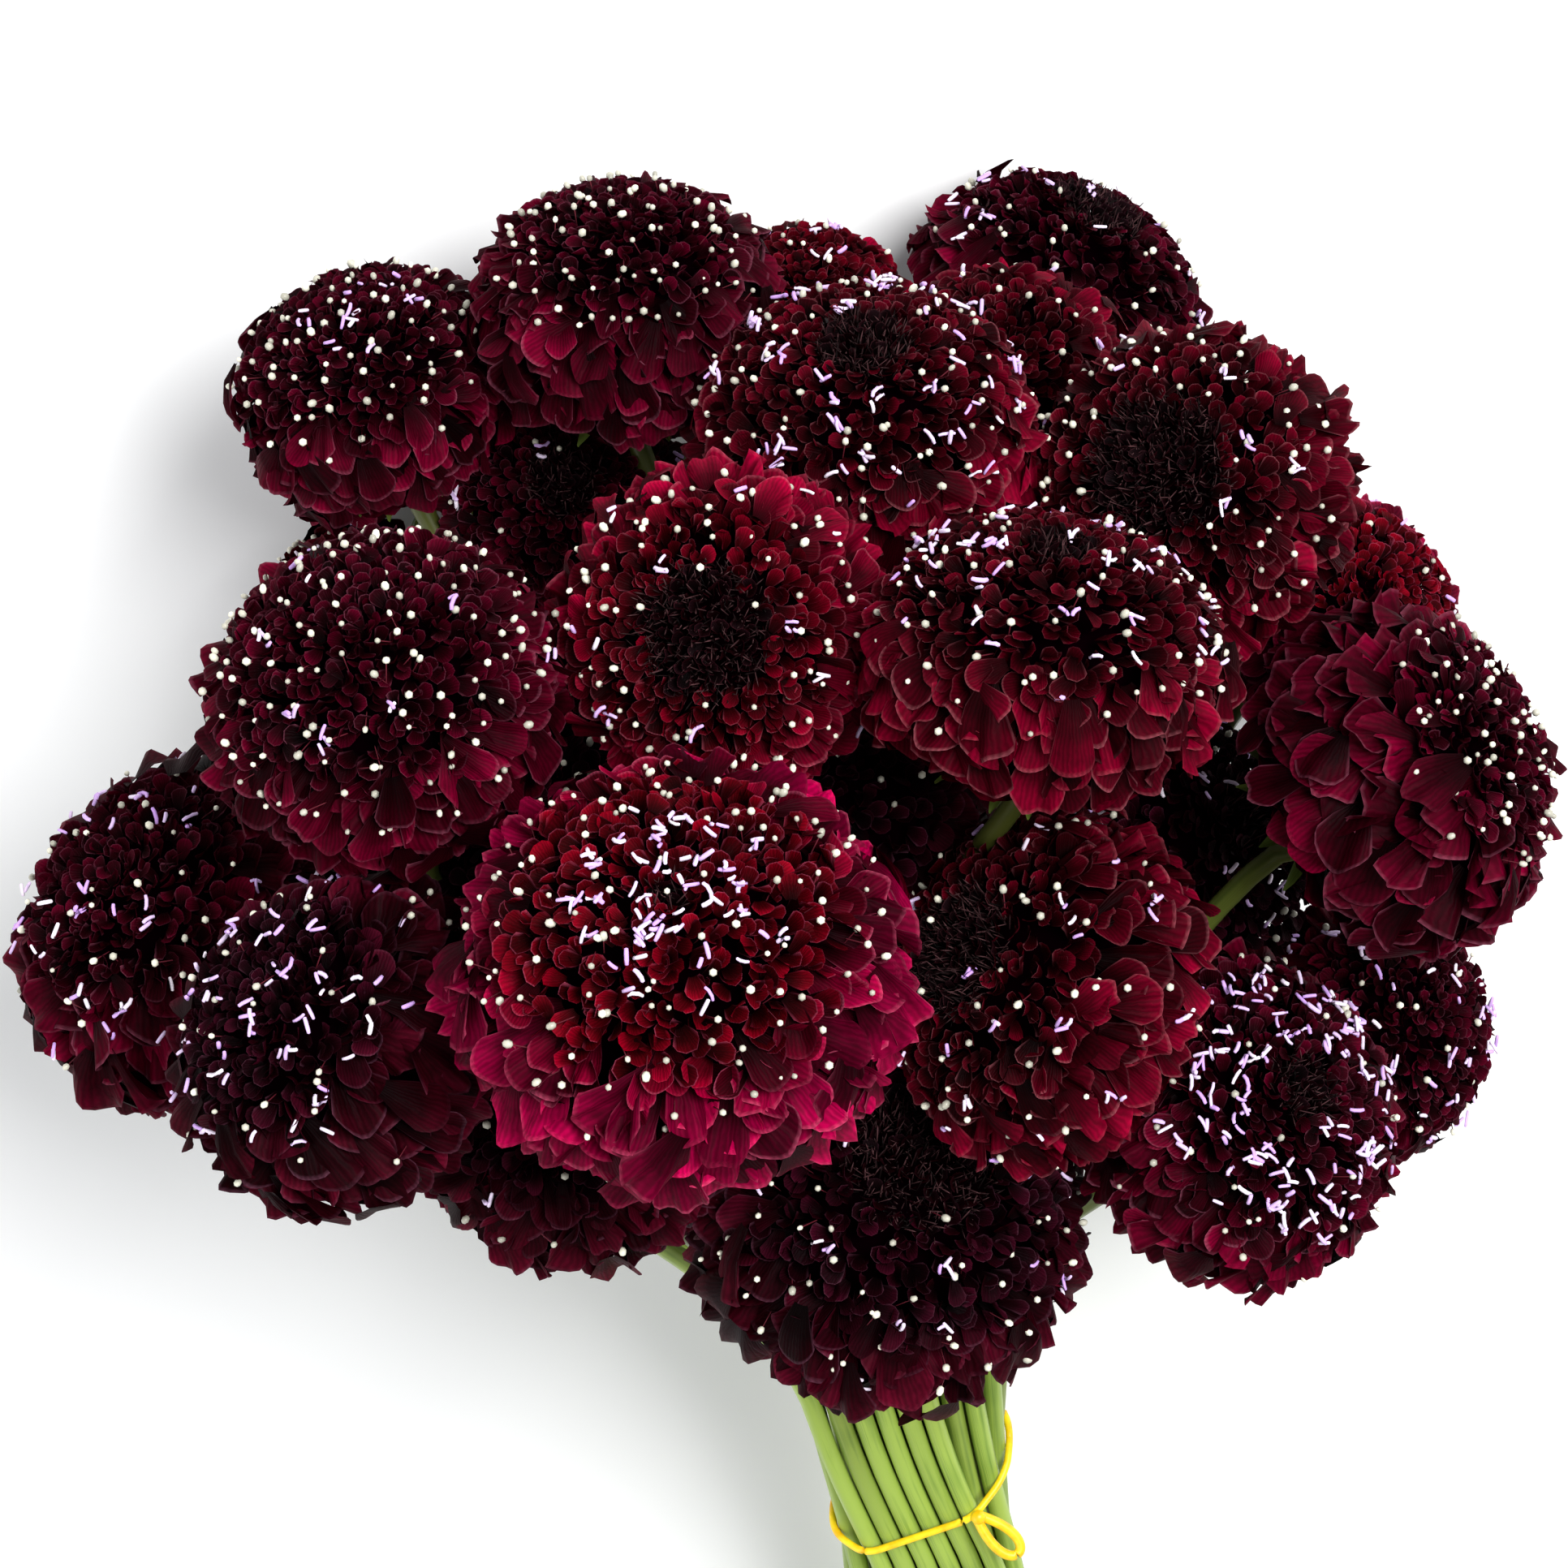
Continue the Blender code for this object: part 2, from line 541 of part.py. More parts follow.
def elastic_tie(places, parts, finish):
    """The tie as one body: ring, knot and loop, joined.

    The loop is a teardrop that leaves the knot along the bundle, leans to the right and lifts
    off the stems. Its half width is TEARDROP * sin(turn) * sin(turn / 2) of its whole width,
    which is 0.5 at the widest.
    """
    round_points = [round_bundle(places, share, ring_along(places, share), ELASTIC_RADIUS)[0]
                    for share in np.linspace(0.0, 1.0, RING_POINTS, endpoint=False)]
    ring = tube("ring", round_points, [ELASTIC_RADIUS] * RING_POINTS, parts, finish, closed=True)
    knot_along = ring_along(places, KNOT_ROUND)
    start, _ = round_bundle(places, KNOT_ROUND, knot_along, ELASTIC_RADIUS)
    outward = unit(round_bundle(places, KNOT_ROUND, knot_along, ELASTIC_RADIUS + 1.0)[0] - start)
    middle, side, _ = bundle_frame(knot_along)
    ahead = unit(np.cross(side, outward))
    ahead *= np.sign(ahead @ (middle - bundle_frame(knot_along + 1.0)[0]))
    rightward = unit(side - (side @ outward) * outward)
    length_way = math.cos(LOOP_LEAN) * ahead + math.sin(LOOP_LEAN) * rightward
    width_way = np.cross(length_way, outward)
    turn = np.linspace(0.0, math.tau, LOOP_POINTS)[:, None]
    away = np.sin(turn / 2) ** 2
    loop_points = (start + away * (LOOP_LENGTH * length_way + LOOP_LIFT * outward)
                   + TEARDROP * LOOP_WIDTH * np.sin(turn) * np.sin(turn / 2) * width_way)
    loop = tube("loop", loop_points, [ELASTIC_RADIUS] * LOOP_POINTS, parts, finish)
    knot = bmesh.new()
    bmesh.ops.create_icosphere(knot, subdivisions=1, radius=KNOT_RADIUS)
    knot_place = round_bundle(places, KNOT_ROUND, knot_along, KNOT_RADIUS)[0]
    lump = place_mesh("knot", knot, knot_place, parts, finish)
    return join_bodies("elastic_tie", [ring, loop, lump], parts, finish)


def join_bodies(name, bodies, parts, finish):
    """Make one closed mesh of bodies that run into each other, and remove them."""
    cutters = bpy.data.collections.new(name + "_bodies")
    bpy.context.scene.collection.children.link(cutters)
    bpy.context.view_layer.update()
    depsgraph = bpy.context.evaluated_depsgraph_get()
    solids = []
    for body in bodies:
        mesh = bmesh.new()
        mesh.from_mesh(bpy.data.meshes.new_from_object(body.evaluated_get(depsgraph)))
        mesh.transform(body.matrix_world)
        bmesh.ops.remove_doubles(mesh, verts=mesh.verts[:], dist=1e-6)
        bmesh.ops.recalc_face_normals(mesh, faces=mesh.faces[:])
        data = bpy.data.meshes.new(body.name + "_solid")
        mesh.to_mesh(data)
        mesh.free()
        solids.append(bpy.data.objects.new(body.name + "_solid", data))
        bpy.data.objects.remove(body)
    first, rest = solids[0], solids[1:]
    parts.objects.link(first)
    for solid in rest:
        cutters.objects.link(solid)
    union = first.modifiers.new("join", "BOOLEAN")
    union.operation = "UNION"
    union.operand_type = "COLLECTION"
    union.collection = cutters
    bpy.context.view_layer.update()
    joined = bpy.data.meshes.new_from_object(first.evaluated_get(bpy.context.evaluated_depsgraph_get()))
    for solid in solids:
        bpy.data.objects.remove(solid)
    bpy.data.collections.remove(cutters)
    joined.name = name
    joined.materials.clear()
    joined.materials.append(finish)
    made = bpy.data.objects.new(name, joined)
    parts.objects.link(made)
    return made


def main():
    for old in list(bpy.data.objects):
        bpy.data.objects.remove(old)
    parts = bpy.data.collections.new("scabiosa_bunch")
    bpy.context.scene.collection.children.link(parts)
    petals = material("burgundy_petals", (0.075, 0.004, 0.012), 0.6)
    green = material("green_stem", (0.20, 0.36, 0.05), 0.45)
    yellow = material("yellow_elastic", (0.85, 0.55, 0.02), 0.4)
    places = share_places()
    lines = ease_apart(stem_lines(places, clear_ways(smooth_ways(places))))
    for index, name in enumerate(NAMES):
        bloom(index, lines, parts, petals)
        line, wide = lines[index]
        tube(name.replace("bloom", "stem"), line, wide, parts, green)
    elastic_tie(places, parts, yellow)


main()
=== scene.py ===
# %% [markdown]
# # A hand-tied bunch of dark double scabiosas
# The bunch lies on its side. Twenty-nine globe-shaped heads sit on thin green stems that one
# yellow elastic holds together. The solid model gives every head, stem and the elastic its
# place and size. This script gives them their looks: petals, stamens, bracts and colours.

# %% Load the solid model
import math

import bpy
import numpy as np
from mathutils import Matrix, Vector


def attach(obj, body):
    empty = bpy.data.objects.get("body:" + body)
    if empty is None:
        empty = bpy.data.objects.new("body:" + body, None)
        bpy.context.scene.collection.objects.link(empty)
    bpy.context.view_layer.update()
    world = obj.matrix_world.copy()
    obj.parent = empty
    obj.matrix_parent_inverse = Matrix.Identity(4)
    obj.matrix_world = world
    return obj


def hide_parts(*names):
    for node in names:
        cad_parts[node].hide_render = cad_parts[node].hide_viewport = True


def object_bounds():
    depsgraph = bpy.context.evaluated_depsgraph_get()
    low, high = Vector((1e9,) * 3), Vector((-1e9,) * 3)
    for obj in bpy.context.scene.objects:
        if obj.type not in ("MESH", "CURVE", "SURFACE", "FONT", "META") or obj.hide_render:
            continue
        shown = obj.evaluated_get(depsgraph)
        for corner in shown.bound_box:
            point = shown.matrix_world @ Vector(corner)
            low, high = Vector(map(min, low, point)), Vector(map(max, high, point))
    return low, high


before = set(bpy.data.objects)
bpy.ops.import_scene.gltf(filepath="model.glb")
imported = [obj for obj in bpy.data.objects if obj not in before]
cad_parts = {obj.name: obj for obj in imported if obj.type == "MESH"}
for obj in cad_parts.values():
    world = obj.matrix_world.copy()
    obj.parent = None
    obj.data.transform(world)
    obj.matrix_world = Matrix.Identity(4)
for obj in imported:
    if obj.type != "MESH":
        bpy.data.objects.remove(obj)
solid_box = [list(corner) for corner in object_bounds()]
MM = 0.001
extent = [round(high - low, 3) for low, high in zip(*solid_box)]
print("solid model:", len(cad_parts), "nodes,", extent, "m")

# %% [markdown]
# ## Where each head sits
# A bunch is easiest to lay out the way one looks at it: right, up and near, in millimetres.
# The numbers are those of the solid model, so the petals land on its globes. Each row also
# names the head's red, and says how wide its unopened heart is, how many degrees from the
# crown its skirt of large petals begins, and how many cream stigmas and lilac anthers it
# shows, with the belt that they cover, in degrees from the crown. Heads that lie behind others
# have more room, so a second list makes some of them looser than the globe of the solid model.

# %% The bunch's layout
LOOK_TILT = math.radians(20.0)
VIEW_MIDDLE = np.array([2.0, 178.0, 195.0])

# Row 1 is bloom_01, row 29 bloom_29. Right, up, near, radius, crown, red, heart radius, skirt
# from, stigmas and anthers with their belts.
BLOOMS = [
    (-30, 90, -85, 30, (0.0, 0.75, 0.66), "burgundy", 0, 46, (62, 4, 56), (0, 0, 0)),
    (-79, 76, -96, 27.5, (-0.19, 0.67, 0.72), "burgundy", 0, 60, (66, 0, 68), (14, 4, 28)),
    (4, 91, -120, 22, (0.0, 0.6, 0.8), "ruby", 0, 62, (26, 0, 75), (26, 0, 60)),
    (55, 98, -140, 30, (0.39, 0.8, 0.46), "burgundy", 10.0, 62, (46, 26, 90), (38, 22, 86)),
    (15, 65, -61, 32, (-0.03, 0.67, 0.74), "red", 9.0, 58, (66, 22, 80), (70, 20, 72)),
    (42, 76, -99, 25, (-0.3, 0.3, 0.9), "red", 0, 60, (18, 0, 70), (16, 0, 70)),
    (76, 54, -62, 31, (-0.35, 0.21, 0.91), "red", 13.7, 56, (66, 28, 78), (16, 30, 70)),
    (-43, 55, -115, 24, (0.0, 0.25, 0.97), "burgundy", 8.0, 62, (8, 24, 70), (10, 20, 70)),
    (-72, 15, -29, 33, (-0.15, 0.5, 0.85), "burgundy", 0, 58, (98, 0, 76), (12, 0, 60)),
    (-11, 28, -31, 30, (-0.15, -0.04, 0.99), "ruby", 12.5, 54, (60, 26, 70), (20, 30, 80)),
    (46, 21, -18, 31, (0.09, 0.86, 0.5), "red", 5.5, 64, (56, 14, 84), (54, 12, 62)),
    (107, 31, -97, 24, (0.5, 0.3, 0.8), "crimson", 0, 56, (10, 0, 60), (16, 30, 80)),
    (114, 1, -60, 33, (0.75, 0.35, 0.55), "burgundy", 0, 34, (50, 0, 46), (0, 0, 0)),
    (-114, -29, -88, 35, (-0.46, 0.48, 0.75), "burgundy", 0, 45, (30, 0, 66), (50, 0, 62)),
    (-80, -47, -30, 32, (-0.55, 0.38, 0.74), "plum", 0, 45, (30, 0, 76), (64, 0, 56)),
    (-18, -34, 0, 40, (-0.06, 0.5, 0.86), "crimson", 3.0, 52, (84, 12, 66), (52, 2, 28)),
    (49, -37, -50, 31, (-0.75, 0.28, 0.6), "red", 11.7, 53, (46, 22, 84), (40, 22, 84)),
    (77, -14, -114, 24, (0.67, 0.35, 0.66), "plum", 6.4, 62, (8, 20, 70), (44, 18, 76)),
    (86, -64, -80, 32, (0.48, 0.31, 0.82), "burgundy", 7.0, 58, (26, 16, 80), (130, 18, 52)),
    (117, -48, -126, 24, (0.6, 0.2, 0.77), "burgundy", 0, 62, (16, 0, 80), (64, 0, 78)),
    (19, -82, -81, 38, (0.24, 0.46, 0.85), "plum", 14.7, 60, (72, 24, 82), (30, 24, 70)),
    (-38, -61, -53, 30, (-0.1, 0.5, 0.86), "plum", 0, 56, (26, 0, 90), (8, 30, 90)),
    (-78, 75, -154, 28, (-0.45, 0.5, 0.1), "burgundy", 0, 54, (40, 0, 62), (20, 0, 60)),
    (-89, 27, -168, 28, (-0.8, 0.15, 0.15), "red", 6.0, 54, (36, 18, 68), (34, 16, 60)),
    (-24, 84, -151, 28, (-0.1, 0.9, 0.1), "burgundy", 0, 50, (46, 0, 60), (8, 0, 40)),
    (34, 58, -160, 28, (0.1, 0.75, 0.0), "plum", 8.0, 54, (36, 20, 68), (30, 18, 66)),
    (100, 42, -162, 28, (0.8, 0.4, 0.15), "red", 0, 54, (44, 0, 64), (20, 0, 60)),
    (7, -4, -76, 28, (0.0, 0.3, 0.95), "plum", 0, 54, (14, 0, 60), (0, 0, 0)),
    (-50, -12, -76, 28, (-0.3, 0.3, 0.9), "plum", 0, 54, (14, 0, 60), (0, 0, 0)),
]


def to_floor(place):
    """Turn right, up, near into x, y, z over the floor: a turn by the tilt about the x axis."""
    right, up, near = place
    cos, sin = math.cos(LOOK_TILT), math.sin(LOOK_TILT)
    return np.array([right, up * cos + near * sin, near * cos - up * sin])


def unit(vectors):
    """Vectors divided by their lengths."""
    vectors = np.asarray(vectors, float)
    return vectors / np.linalg.norm(vectors, axis=-1, keepdims=True)


# By a head's number: how far its petals' tips stand out, in the radius of the solid globe.
SPREAD = {9: 0.97, 11: 1.05, 12: 1.06, 13: 1.01, 17: 1.06, 18: 1.22, 20: 1.08, 28: 1.16, 29: 1.1}
USUAL_SPREAD = 0.99

HEAD_WIDE, HEAD_HIGH = 1.02, 0.80  # a head's half width and its crown's height, in its radius

NUMBERS = range(1, len(BLOOMS) + 1)
NAMES = [f"bloom_{number:02d}" for number in NUMBERS]
CENTRE = np.array([to_floor(row[:3]) + VIEW_MIDDLE for row in BLOOMS])
RADIUS = np.array([float(row[3]) for row in BLOOMS])
CROWN = unit([to_floor(row[4]) for row in BLOOMS])
FULL_RADIUS = RADIUS * [SPREAD.get(number, USUAL_SPREAD) for number in NUMBERS]
print("layout:", len(NAMES), "heads, radius", RADIUS.min(), "to", RADIUS.max(), "mm")

# %% [markdown]
# ## Colours and nodes
# Colours are written as sRGB hex codes, as in any paint program, but Blender's shaders work
# with linear light, so one function turns them over. Others add a shader node with its
# settings and links, which keeps each material short.

# %% Colour and node helpers


def linear(code):
    """Linear red, green and blue of #rrggbb: c / 12.92 when dark, else ((c + 0.055) / 1.055) ^ 2.4."""
    channels = np.array([int(code[i:i + 2], 16) / 255 for i in (1, 3, 5)])
    return np.where(channels <= 0.04045, channels / 12.92, ((channels + 0.055) / 1.055) ** 2.4)


def fill(material, node, inputs):
    """Give each named socket of a node its value, or link it to another node's output."""
    for socket, value in inputs.items():
        if isinstance(value, bpy.types.NodeSocket):
            material.node_tree.links.new(value, node.inputs[socket])
        else:
            node.inputs[socket].default_value = value


def add_node(material, kind, inputs=None, **settings):
    """Add a shader node with its inputs, as in fill, and its other settings."""
    made = material.node_tree.nodes.new("ShaderNode" + kind)
    for name, value in settings.items():
        setattr(made, name, value)
    fill(material, made, inputs or {})
    return made


def two_colours(material, factor, low, high, first, last):
    """A blend from the first colour, where the factor is low, to the last, where it is high."""
    made = add_node(material, "ValToRGB", {"Fac": factor})
    for end, position, code in zip(made.color_ramp.elements, (low, high), (first, last)):
        end.position = position
        end.color = (*linear(code), 1.0)
    return made.outputs["Color"]


def new_material(name):
    """A new node material and its Principled shader."""
    material = bpy.data.materials.new(name)
    material.use_nodes = True
    print("material:", name)
    return material, material.node_tree.nodes["Principled BSDF"]


RED_CODES = {  # florets near the crown, petals of the skirt, and a painted highlight along their rims
    "crimson": ("#60000e", "#8a0034", "#b44c68"),
    "ruby": ("#580010", "#780022", "#a04c5c"),
    "red": ("#46000e", "#5e0018", "#905058"),
    "burgundy": ("#3a0010", "#500018", "#804456"),
    "plum": ("#280410", "#400414", "#603848"),
}
REDS = {name: [linear(code) for code in codes] for name, codes in RED_CODES.items()}
print("reds:", ", ".join(REDS))

# %% [markdown]
# ## Petal velvet
# A scabiosa petal is a thin skin whose outer cells stand up as tiny cones. They trap light,
# which makes it look like velvet: very dark face on, with a soft glow along the edges. Sheen
# on a rough Principled shader gives part of that, and a painted highlight along each rim the
# rest. Each petal's red comes from a colour attribute that is worked out with its shape, which
# also holds painted shade towards the claw. Fine veins run from claw to rim along its UV map;
# their streaks are a real pattern and partly a painted highlight as well.

# %% The petal material
PATCH_SIZE = 4 * MM  # of the darker and lighter patches of a petal
VEIN_RELIEF = 0.15 * MM
petal_velvet, shader = new_material("petal_velvet")
tone = add_node(petal_velvet, "Attribute", attribute_name="tone")
place = add_node(petal_velvet, "TexCoord")
mottle = add_node(petal_velvet, "TexNoise",
                  {"Vector": place.outputs["Object"], "Scale": 1 / PATCH_SIZE, "Detail": 3.0})
patchy = add_node(petal_velvet, "MapRange", {"Value": mottle.outputs["Fac"], "From Min": 0.3,
                                             "From Max": 0.7, "To Min": 0.65, "To Max": 1.3})
# Veins: a real pattern of fine lines. Their lighter streaks in the colour also serve as a painted highlight,
# and the same waves give the bump.
veins = add_node(petal_velvet, "TexWave",
                 {"Vector": place.outputs["UV"], "Scale": 4.0, "Distortion": 4.0, "Detail": 2.0,
                  "Detail Scale": 2.0}, bands_direction="X")
vein_streak_and_highlight = add_node(petal_velvet, "MapRange", {"Value": veins.outputs["Fac"], "To Min": 0.78, "To Max": 1.2})
depth = add_node(petal_velvet, "Math", {0: patchy.outputs["Result"], 1: vein_streak_and_highlight.outputs["Result"]},
                 operation="MULTIPLY")
red = add_node(petal_velvet, "VectorMath", {0: tone.outputs["Color"], "Scale": depth.outputs["Value"]},
               operation="SCALE")
relief = add_node(petal_velvet, "Bump",
                  {"Height": veins.outputs["Fac"], "Strength": 0.4, "Distance": VEIN_RELIEF})
fill(petal_velvet, shader, {
    "Base Color": red.outputs["Vector"], "Normal": relief.outputs["Normal"], "Roughness": 0.55,
    "Specular IOR Level": 0.02, "Sheen Weight": 0.03, "Sheen Roughness": 0.45,
    "Sheen Tint": (*linear("#b0143c"), 1.0)})

# %% [markdown]
# ## Bristles, stigmas and anthers
# The heart of a young head is a cushion of closed buds among stiff dark bristles. Around it
# each open floret pushes out a cream, slightly waxy stigma and a few lilac to white anthers
# full of pollen, which is matt. Their colours come with the shapes as well. Deep inside a head
# there is only shadow, which a black without any shine gives.

# %% Materials that take their colour from the shape


def toned(name, roughness, specular):
    """A plain material whose colour is the shape's tone attribute."""
    material, shader = new_material(name)
    tone = add_node(material, "Attribute", attribute_name="tone")
    fill(material, shader, {"Base Color": tone.outputs["Color"], "Roughness": roughness,
                            "Specular IOR Level": specular})
    return material


heart_bristle = toned("heart_bristle", 0.6, 0.1)
head_shadow = toned("head_shadow", 1.0, 0.0)
waxy_stigma = toned("waxy_stigma", 0.35, 0.5)
pollen_anther = toned("pollen_anther", 0.7, 0.3)

# %% [markdown]
# ## Stem skin
# A fresh scabiosa stem is smooth, faintly ribbed and yellow-green, with a thin wax that gives
# a soft shine. Streaks run along it, so they follow the UV map, whose second value counts
# millimetres down the stem.

# %% The green skin
STREAKS_ROUND, STREAK_LENGTH = 9.0, 50.0  # streaks round a stem, and their length in mm
CLOUD_SIZE = 25 * MM  # of the paler and deeper stretches of a stem
stem_skin, shader = new_material("stem_skin")
place = add_node(stem_skin, "TexCoord")
long_streaks = add_node(stem_skin, "Mapping", {"Vector": place.outputs["UV"],
                                               "Scale": (STREAKS_ROUND, 1 / STREAK_LENGTH, 1.0)})
fibre = add_node(stem_skin, "TexNoise",
                 {"Vector": long_streaks.outputs["Vector"], "Scale": 1.0, "Detail": 4.0})
cloud = add_node(stem_skin, "TexNoise",
                 {"Vector": place.outputs["Object"], "Scale": 1 / CLOUD_SIZE, "Detail": 2.0})
mixed = add_node(stem_skin, "Math", {0: fibre.outputs["Fac"], 1: cloud.outputs["Fac"]}, operation="ADD")
green = two_colours(stem_skin, mixed.outputs["Value"], 0.6, 1.0, "#456a1a", "#93ab48")
tone = add_node(stem_skin, "Attribute", attribute_name="tone")
skin = add_node(stem_skin, "Mix", {"Factor": 1.0, "A": green, "B": tone.outputs["Color"]},
                data_type="RGBA", blend_type="MULTIPLY")
fill(stem_skin, shader, {"Base Color": skin.outputs[2], "Roughness": 0.42, "Specular IOR Level": 0.4})

# %% [markdown]
# ## Shapes as grids
# Every shape here is a surface over a grid of rows and columns, worked out for hundreds of
# petals at once. There are two kinds. A sheet is an open grid, such as a petal. A rod is a
# closed one: rings along a path, joined round, with its two ends drawn to a point. Both keep
# their points, faces, colours and UVs as arrays, and one function makes a mesh of them.

# %% Grids to meshes


def sheets(points, tones, finish):
    """Open grids: points and tones have the shape (sheet, row, column, 3).

    Point (r, c) of a grid joins (r, c + 1), (r + 1, c + 1) and (r + 1, c) in one face.
    """
    count, rows, cols, _ = points.shape
    r, c = np.arange(rows - 1)[:, None], np.arange(cols - 1)[None]
    one = np.stack([r * cols + c, r * cols + c + 1, (r + 1) * cols + c + 1, (r + 1) * cols + c], -1)
    faces = (one.reshape(1, -1, 4) + np.arange(count)[:, None, None] * rows * cols).reshape(-1, 4)
    across, down = np.meshgrid(np.linspace(0, 1, cols), np.linspace(0, 1, rows))
    uv = np.broadcast_to(np.stack([across, down], -1), (count, rows, cols, 2))
    return {"points": points.reshape(-1, 3), "faces": [faces], "finish": finish,
            "tones": np.broadcast_to(tones, points.shape).reshape(-1, 3), "uv": uv.reshape(-1, 2)}


def rods(path, radius, sides, tones, finish):
    """Closed rods: path has the shape (rod, row, 3), radius (rod, row), and the ends are points.

    Ring point = path + radius * (cos a * side + sin a * up), with side and up square to the path.
    """
    count, rows, _ = path.shape
    ahead = unit(np.gradient(path, axis=1))
    axis = np.where(np.abs(ahead[..., :1]) < 0.9, np.array([1.0, 0.0, 0.0]), np.array([0.0, 1.0, 0.0]))
    side = unit(np.cross(ahead, axis))
    up = np.cross(side, ahead)
    angle = np.linspace(0, math.tau, sides, endpoint=False)[:, None]
    rings = path[:, 1:-1, None] + radius[:, 1:-1, None, None] * (
        np.cos(angle) * side[:, 1:-1, None] + np.sin(angle) * up[:, 1:-1, None])
    middle = rings.reshape(count, -1, 3)
    points = np.concatenate([path[:, :1], middle, path[:, -1:]], 1)
    size = points.shape[1]
    r, c = np.arange(rows - 3)[:, None], np.arange(sides)[None]
    after = (c + 1) % sides
    wall = 1 + np.stack([r * sides + c, (r + 1) * sides + c, (r + 1) * sides + after, r * sides + after], -1)
    turn = c[0]
    far = 1 + (rows - 3) * sides
    start = np.stack([np.zeros(sides, int), 1 + turn, 1 + after[0]], -1)
    end = np.stack([np.full(sides, size - 1), far + after[0], far + turn], -1)
    shift = np.arange(count)[:, None, None] * size
    faces = [(kind.reshape(1, -1, kind.shape[-1]) + shift).reshape(-1, kind.shape[-1])
             for kind in (wall, start, end)]
    runs = np.linalg.norm(np.diff(path, axis=1), axis=2)
    travelled = np.concatenate([np.zeros((count, 1)), np.cumsum(runs, 1)], 1)
    ring_uv = np.stack(np.broadcast_arrays(np.arange(sides) / sides, travelled[:, 1:-1, None]), -1)
    end_uv = np.stack([np.zeros((count, 2)), travelled[:, [0, -1]]], -1)
    uv = np.concatenate([end_uv[:, :1], ring_uv.reshape(count, -1, 2), end_uv[:, 1:]], 1)
    tones = np.broadcast_to(tones, path.shape)
    round_tones = np.repeat(tones[:, 1:-1, None], sides, axis=2).reshape(count, -1, 3)
    return {"points": points.reshape(-1, 3), "faces": faces, "finish": finish, "uv": uv.reshape(-1, 2),
            "tones": np.concatenate([tones[:, :1], round_tones, tones[:, -1:]], 1).reshape(-1, 3)}


def add_object(name, data):
    """A new object of a mesh, light or camera, in the scene."""
    made = bpy.data.objects.new(name, data)
    bpy.context.scene.collection.objects.link(made)
    return made


def make_piece(name, shapes, nodes):
    """One smooth mesh object of shapes in mm, which rides on the bunch and replaces solid nodes."""
    finishes = list(dict.fromkeys(shape["finish"] for shape in shapes))
    starts = np.cumsum([0] + [len(shape["points"]) for shape in shapes])
    groups = [(faces + start, finishes.index(shape["finish"]))
              for shape, start in zip(shapes, starts) for faces in shape["faces"]]
    corners = np.concatenate([faces.ravel() for faces, _ in groups])
    sizes = np.concatenate([np.full(len(faces), faces.shape[1]) for faces, _ in groups])
    mesh = bpy.data.meshes.new(name)
    mesh.vertices.add(starts[-1])
    mesh.loops.add(len(corners))
    mesh.polygons.add(len(sizes))
    mesh.vertices.foreach_set("co", (np.concatenate([shape["points"] for shape in shapes]) * MM).ravel())
    mesh.loops.foreach_set("vertex_index", corners)
    mesh.polygons.foreach_set("loop_start", np.cumsum(sizes) - sizes)
    material_of = np.concatenate([np.full(len(faces), k) for faces, k in groups])
    mesh.polygons.foreach_set("material_index", material_of)
    mesh.polygons.foreach_set("use_smooth", np.ones(len(sizes), bool))
    mesh.update(calc_edges=True)
    for finish in finishes:
        mesh.materials.append(finish)
    tones = np.concatenate([shape["tones"] for shape in shapes])
    attribute = mesh.attributes.new("tone", "FLOAT_COLOR", "POINT")
    attribute.data.foreach_set("color", np.concatenate([tones, np.ones((len(tones), 1))], 1).ravel())
    uv = np.concatenate([shape["uv"] for shape in shapes])[corners]
    mesh.uv_layers.new(name="UVMap").data.foreach_set("uv", uv.ravel())
    piece = add_object(name, mesh)
    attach(piece, "root")
    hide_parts(*nodes)
    return piece


# %% [markdown]
# ## One petal
# A petal is narrow at its claw and broad and round at its rim, a little cupped, and waved
# more towards the rim, because the rim is longer than the space it has. The same formula
# with other numbers gives the small scoop-shaped florets in the middle of the head and the
# big ruffled petals of its skirt.

# %% The petal formula


def petal_sheets(tip, along, face, numbers, rows, cols):
    """Petals as points of the shape (petal, row, column, 3), from claw (row 0) to rim.

    With a from edge to edge (-1 to 1) and b from claw to rim (0 to 1):
    x = half * a * (0.2 + 0.8 * b^0.7), y = length * (b - 1) - droop * half * (1 - sqrt(1 - a^2)) * b,
    z = cup * half * a^2 * b + curl * length * (b^3 - 1) + ruffle * b^2 * sin(waves * pi * a + phase).
    The rim's middle lies at the tip, y runs along the petal and z out of its upper face.
    """
    b, a = np.array(rows)[None, :, None], np.array(cols)[None, None]
    n = {key: np.asarray(value, float)[:, None, None] for key, value in numbers.items()}
    x = n["half"] * a * (0.2 + 0.8 * b ** 0.7)
    y = n["length"] * (b - 1) - n["droop"] * n["half"] * (1 - np.sqrt(1 - a ** 2)) * b
    z = (n["cup"] * n["half"] * a ** 2 * b + n["curl"] * n["length"] * (b ** 3 - 1)
         + n["ruffle"] * b ** 2 * np.sin(n["waves"] * math.pi * a + n["phase"]))
    tip, side, along, face = (way[:, None, None] for way in (tip, np.cross(along, face), along, face))
    return tip + x[..., None] * side + y[..., None] * along + z[..., None] * face


# %% [markdown]
# ## Even cover over a globe
# Florets cover the head like the scales of a cone. A simple rule does it: go down from the
# crown, give each floret its share of area, and turn by the golden angle from one to the
# next. A little disorder hides the spiral that this makes.

# %% Places over the globe
GOLDEN_ANGLE = math.pi * (3 - math.sqrt(5))


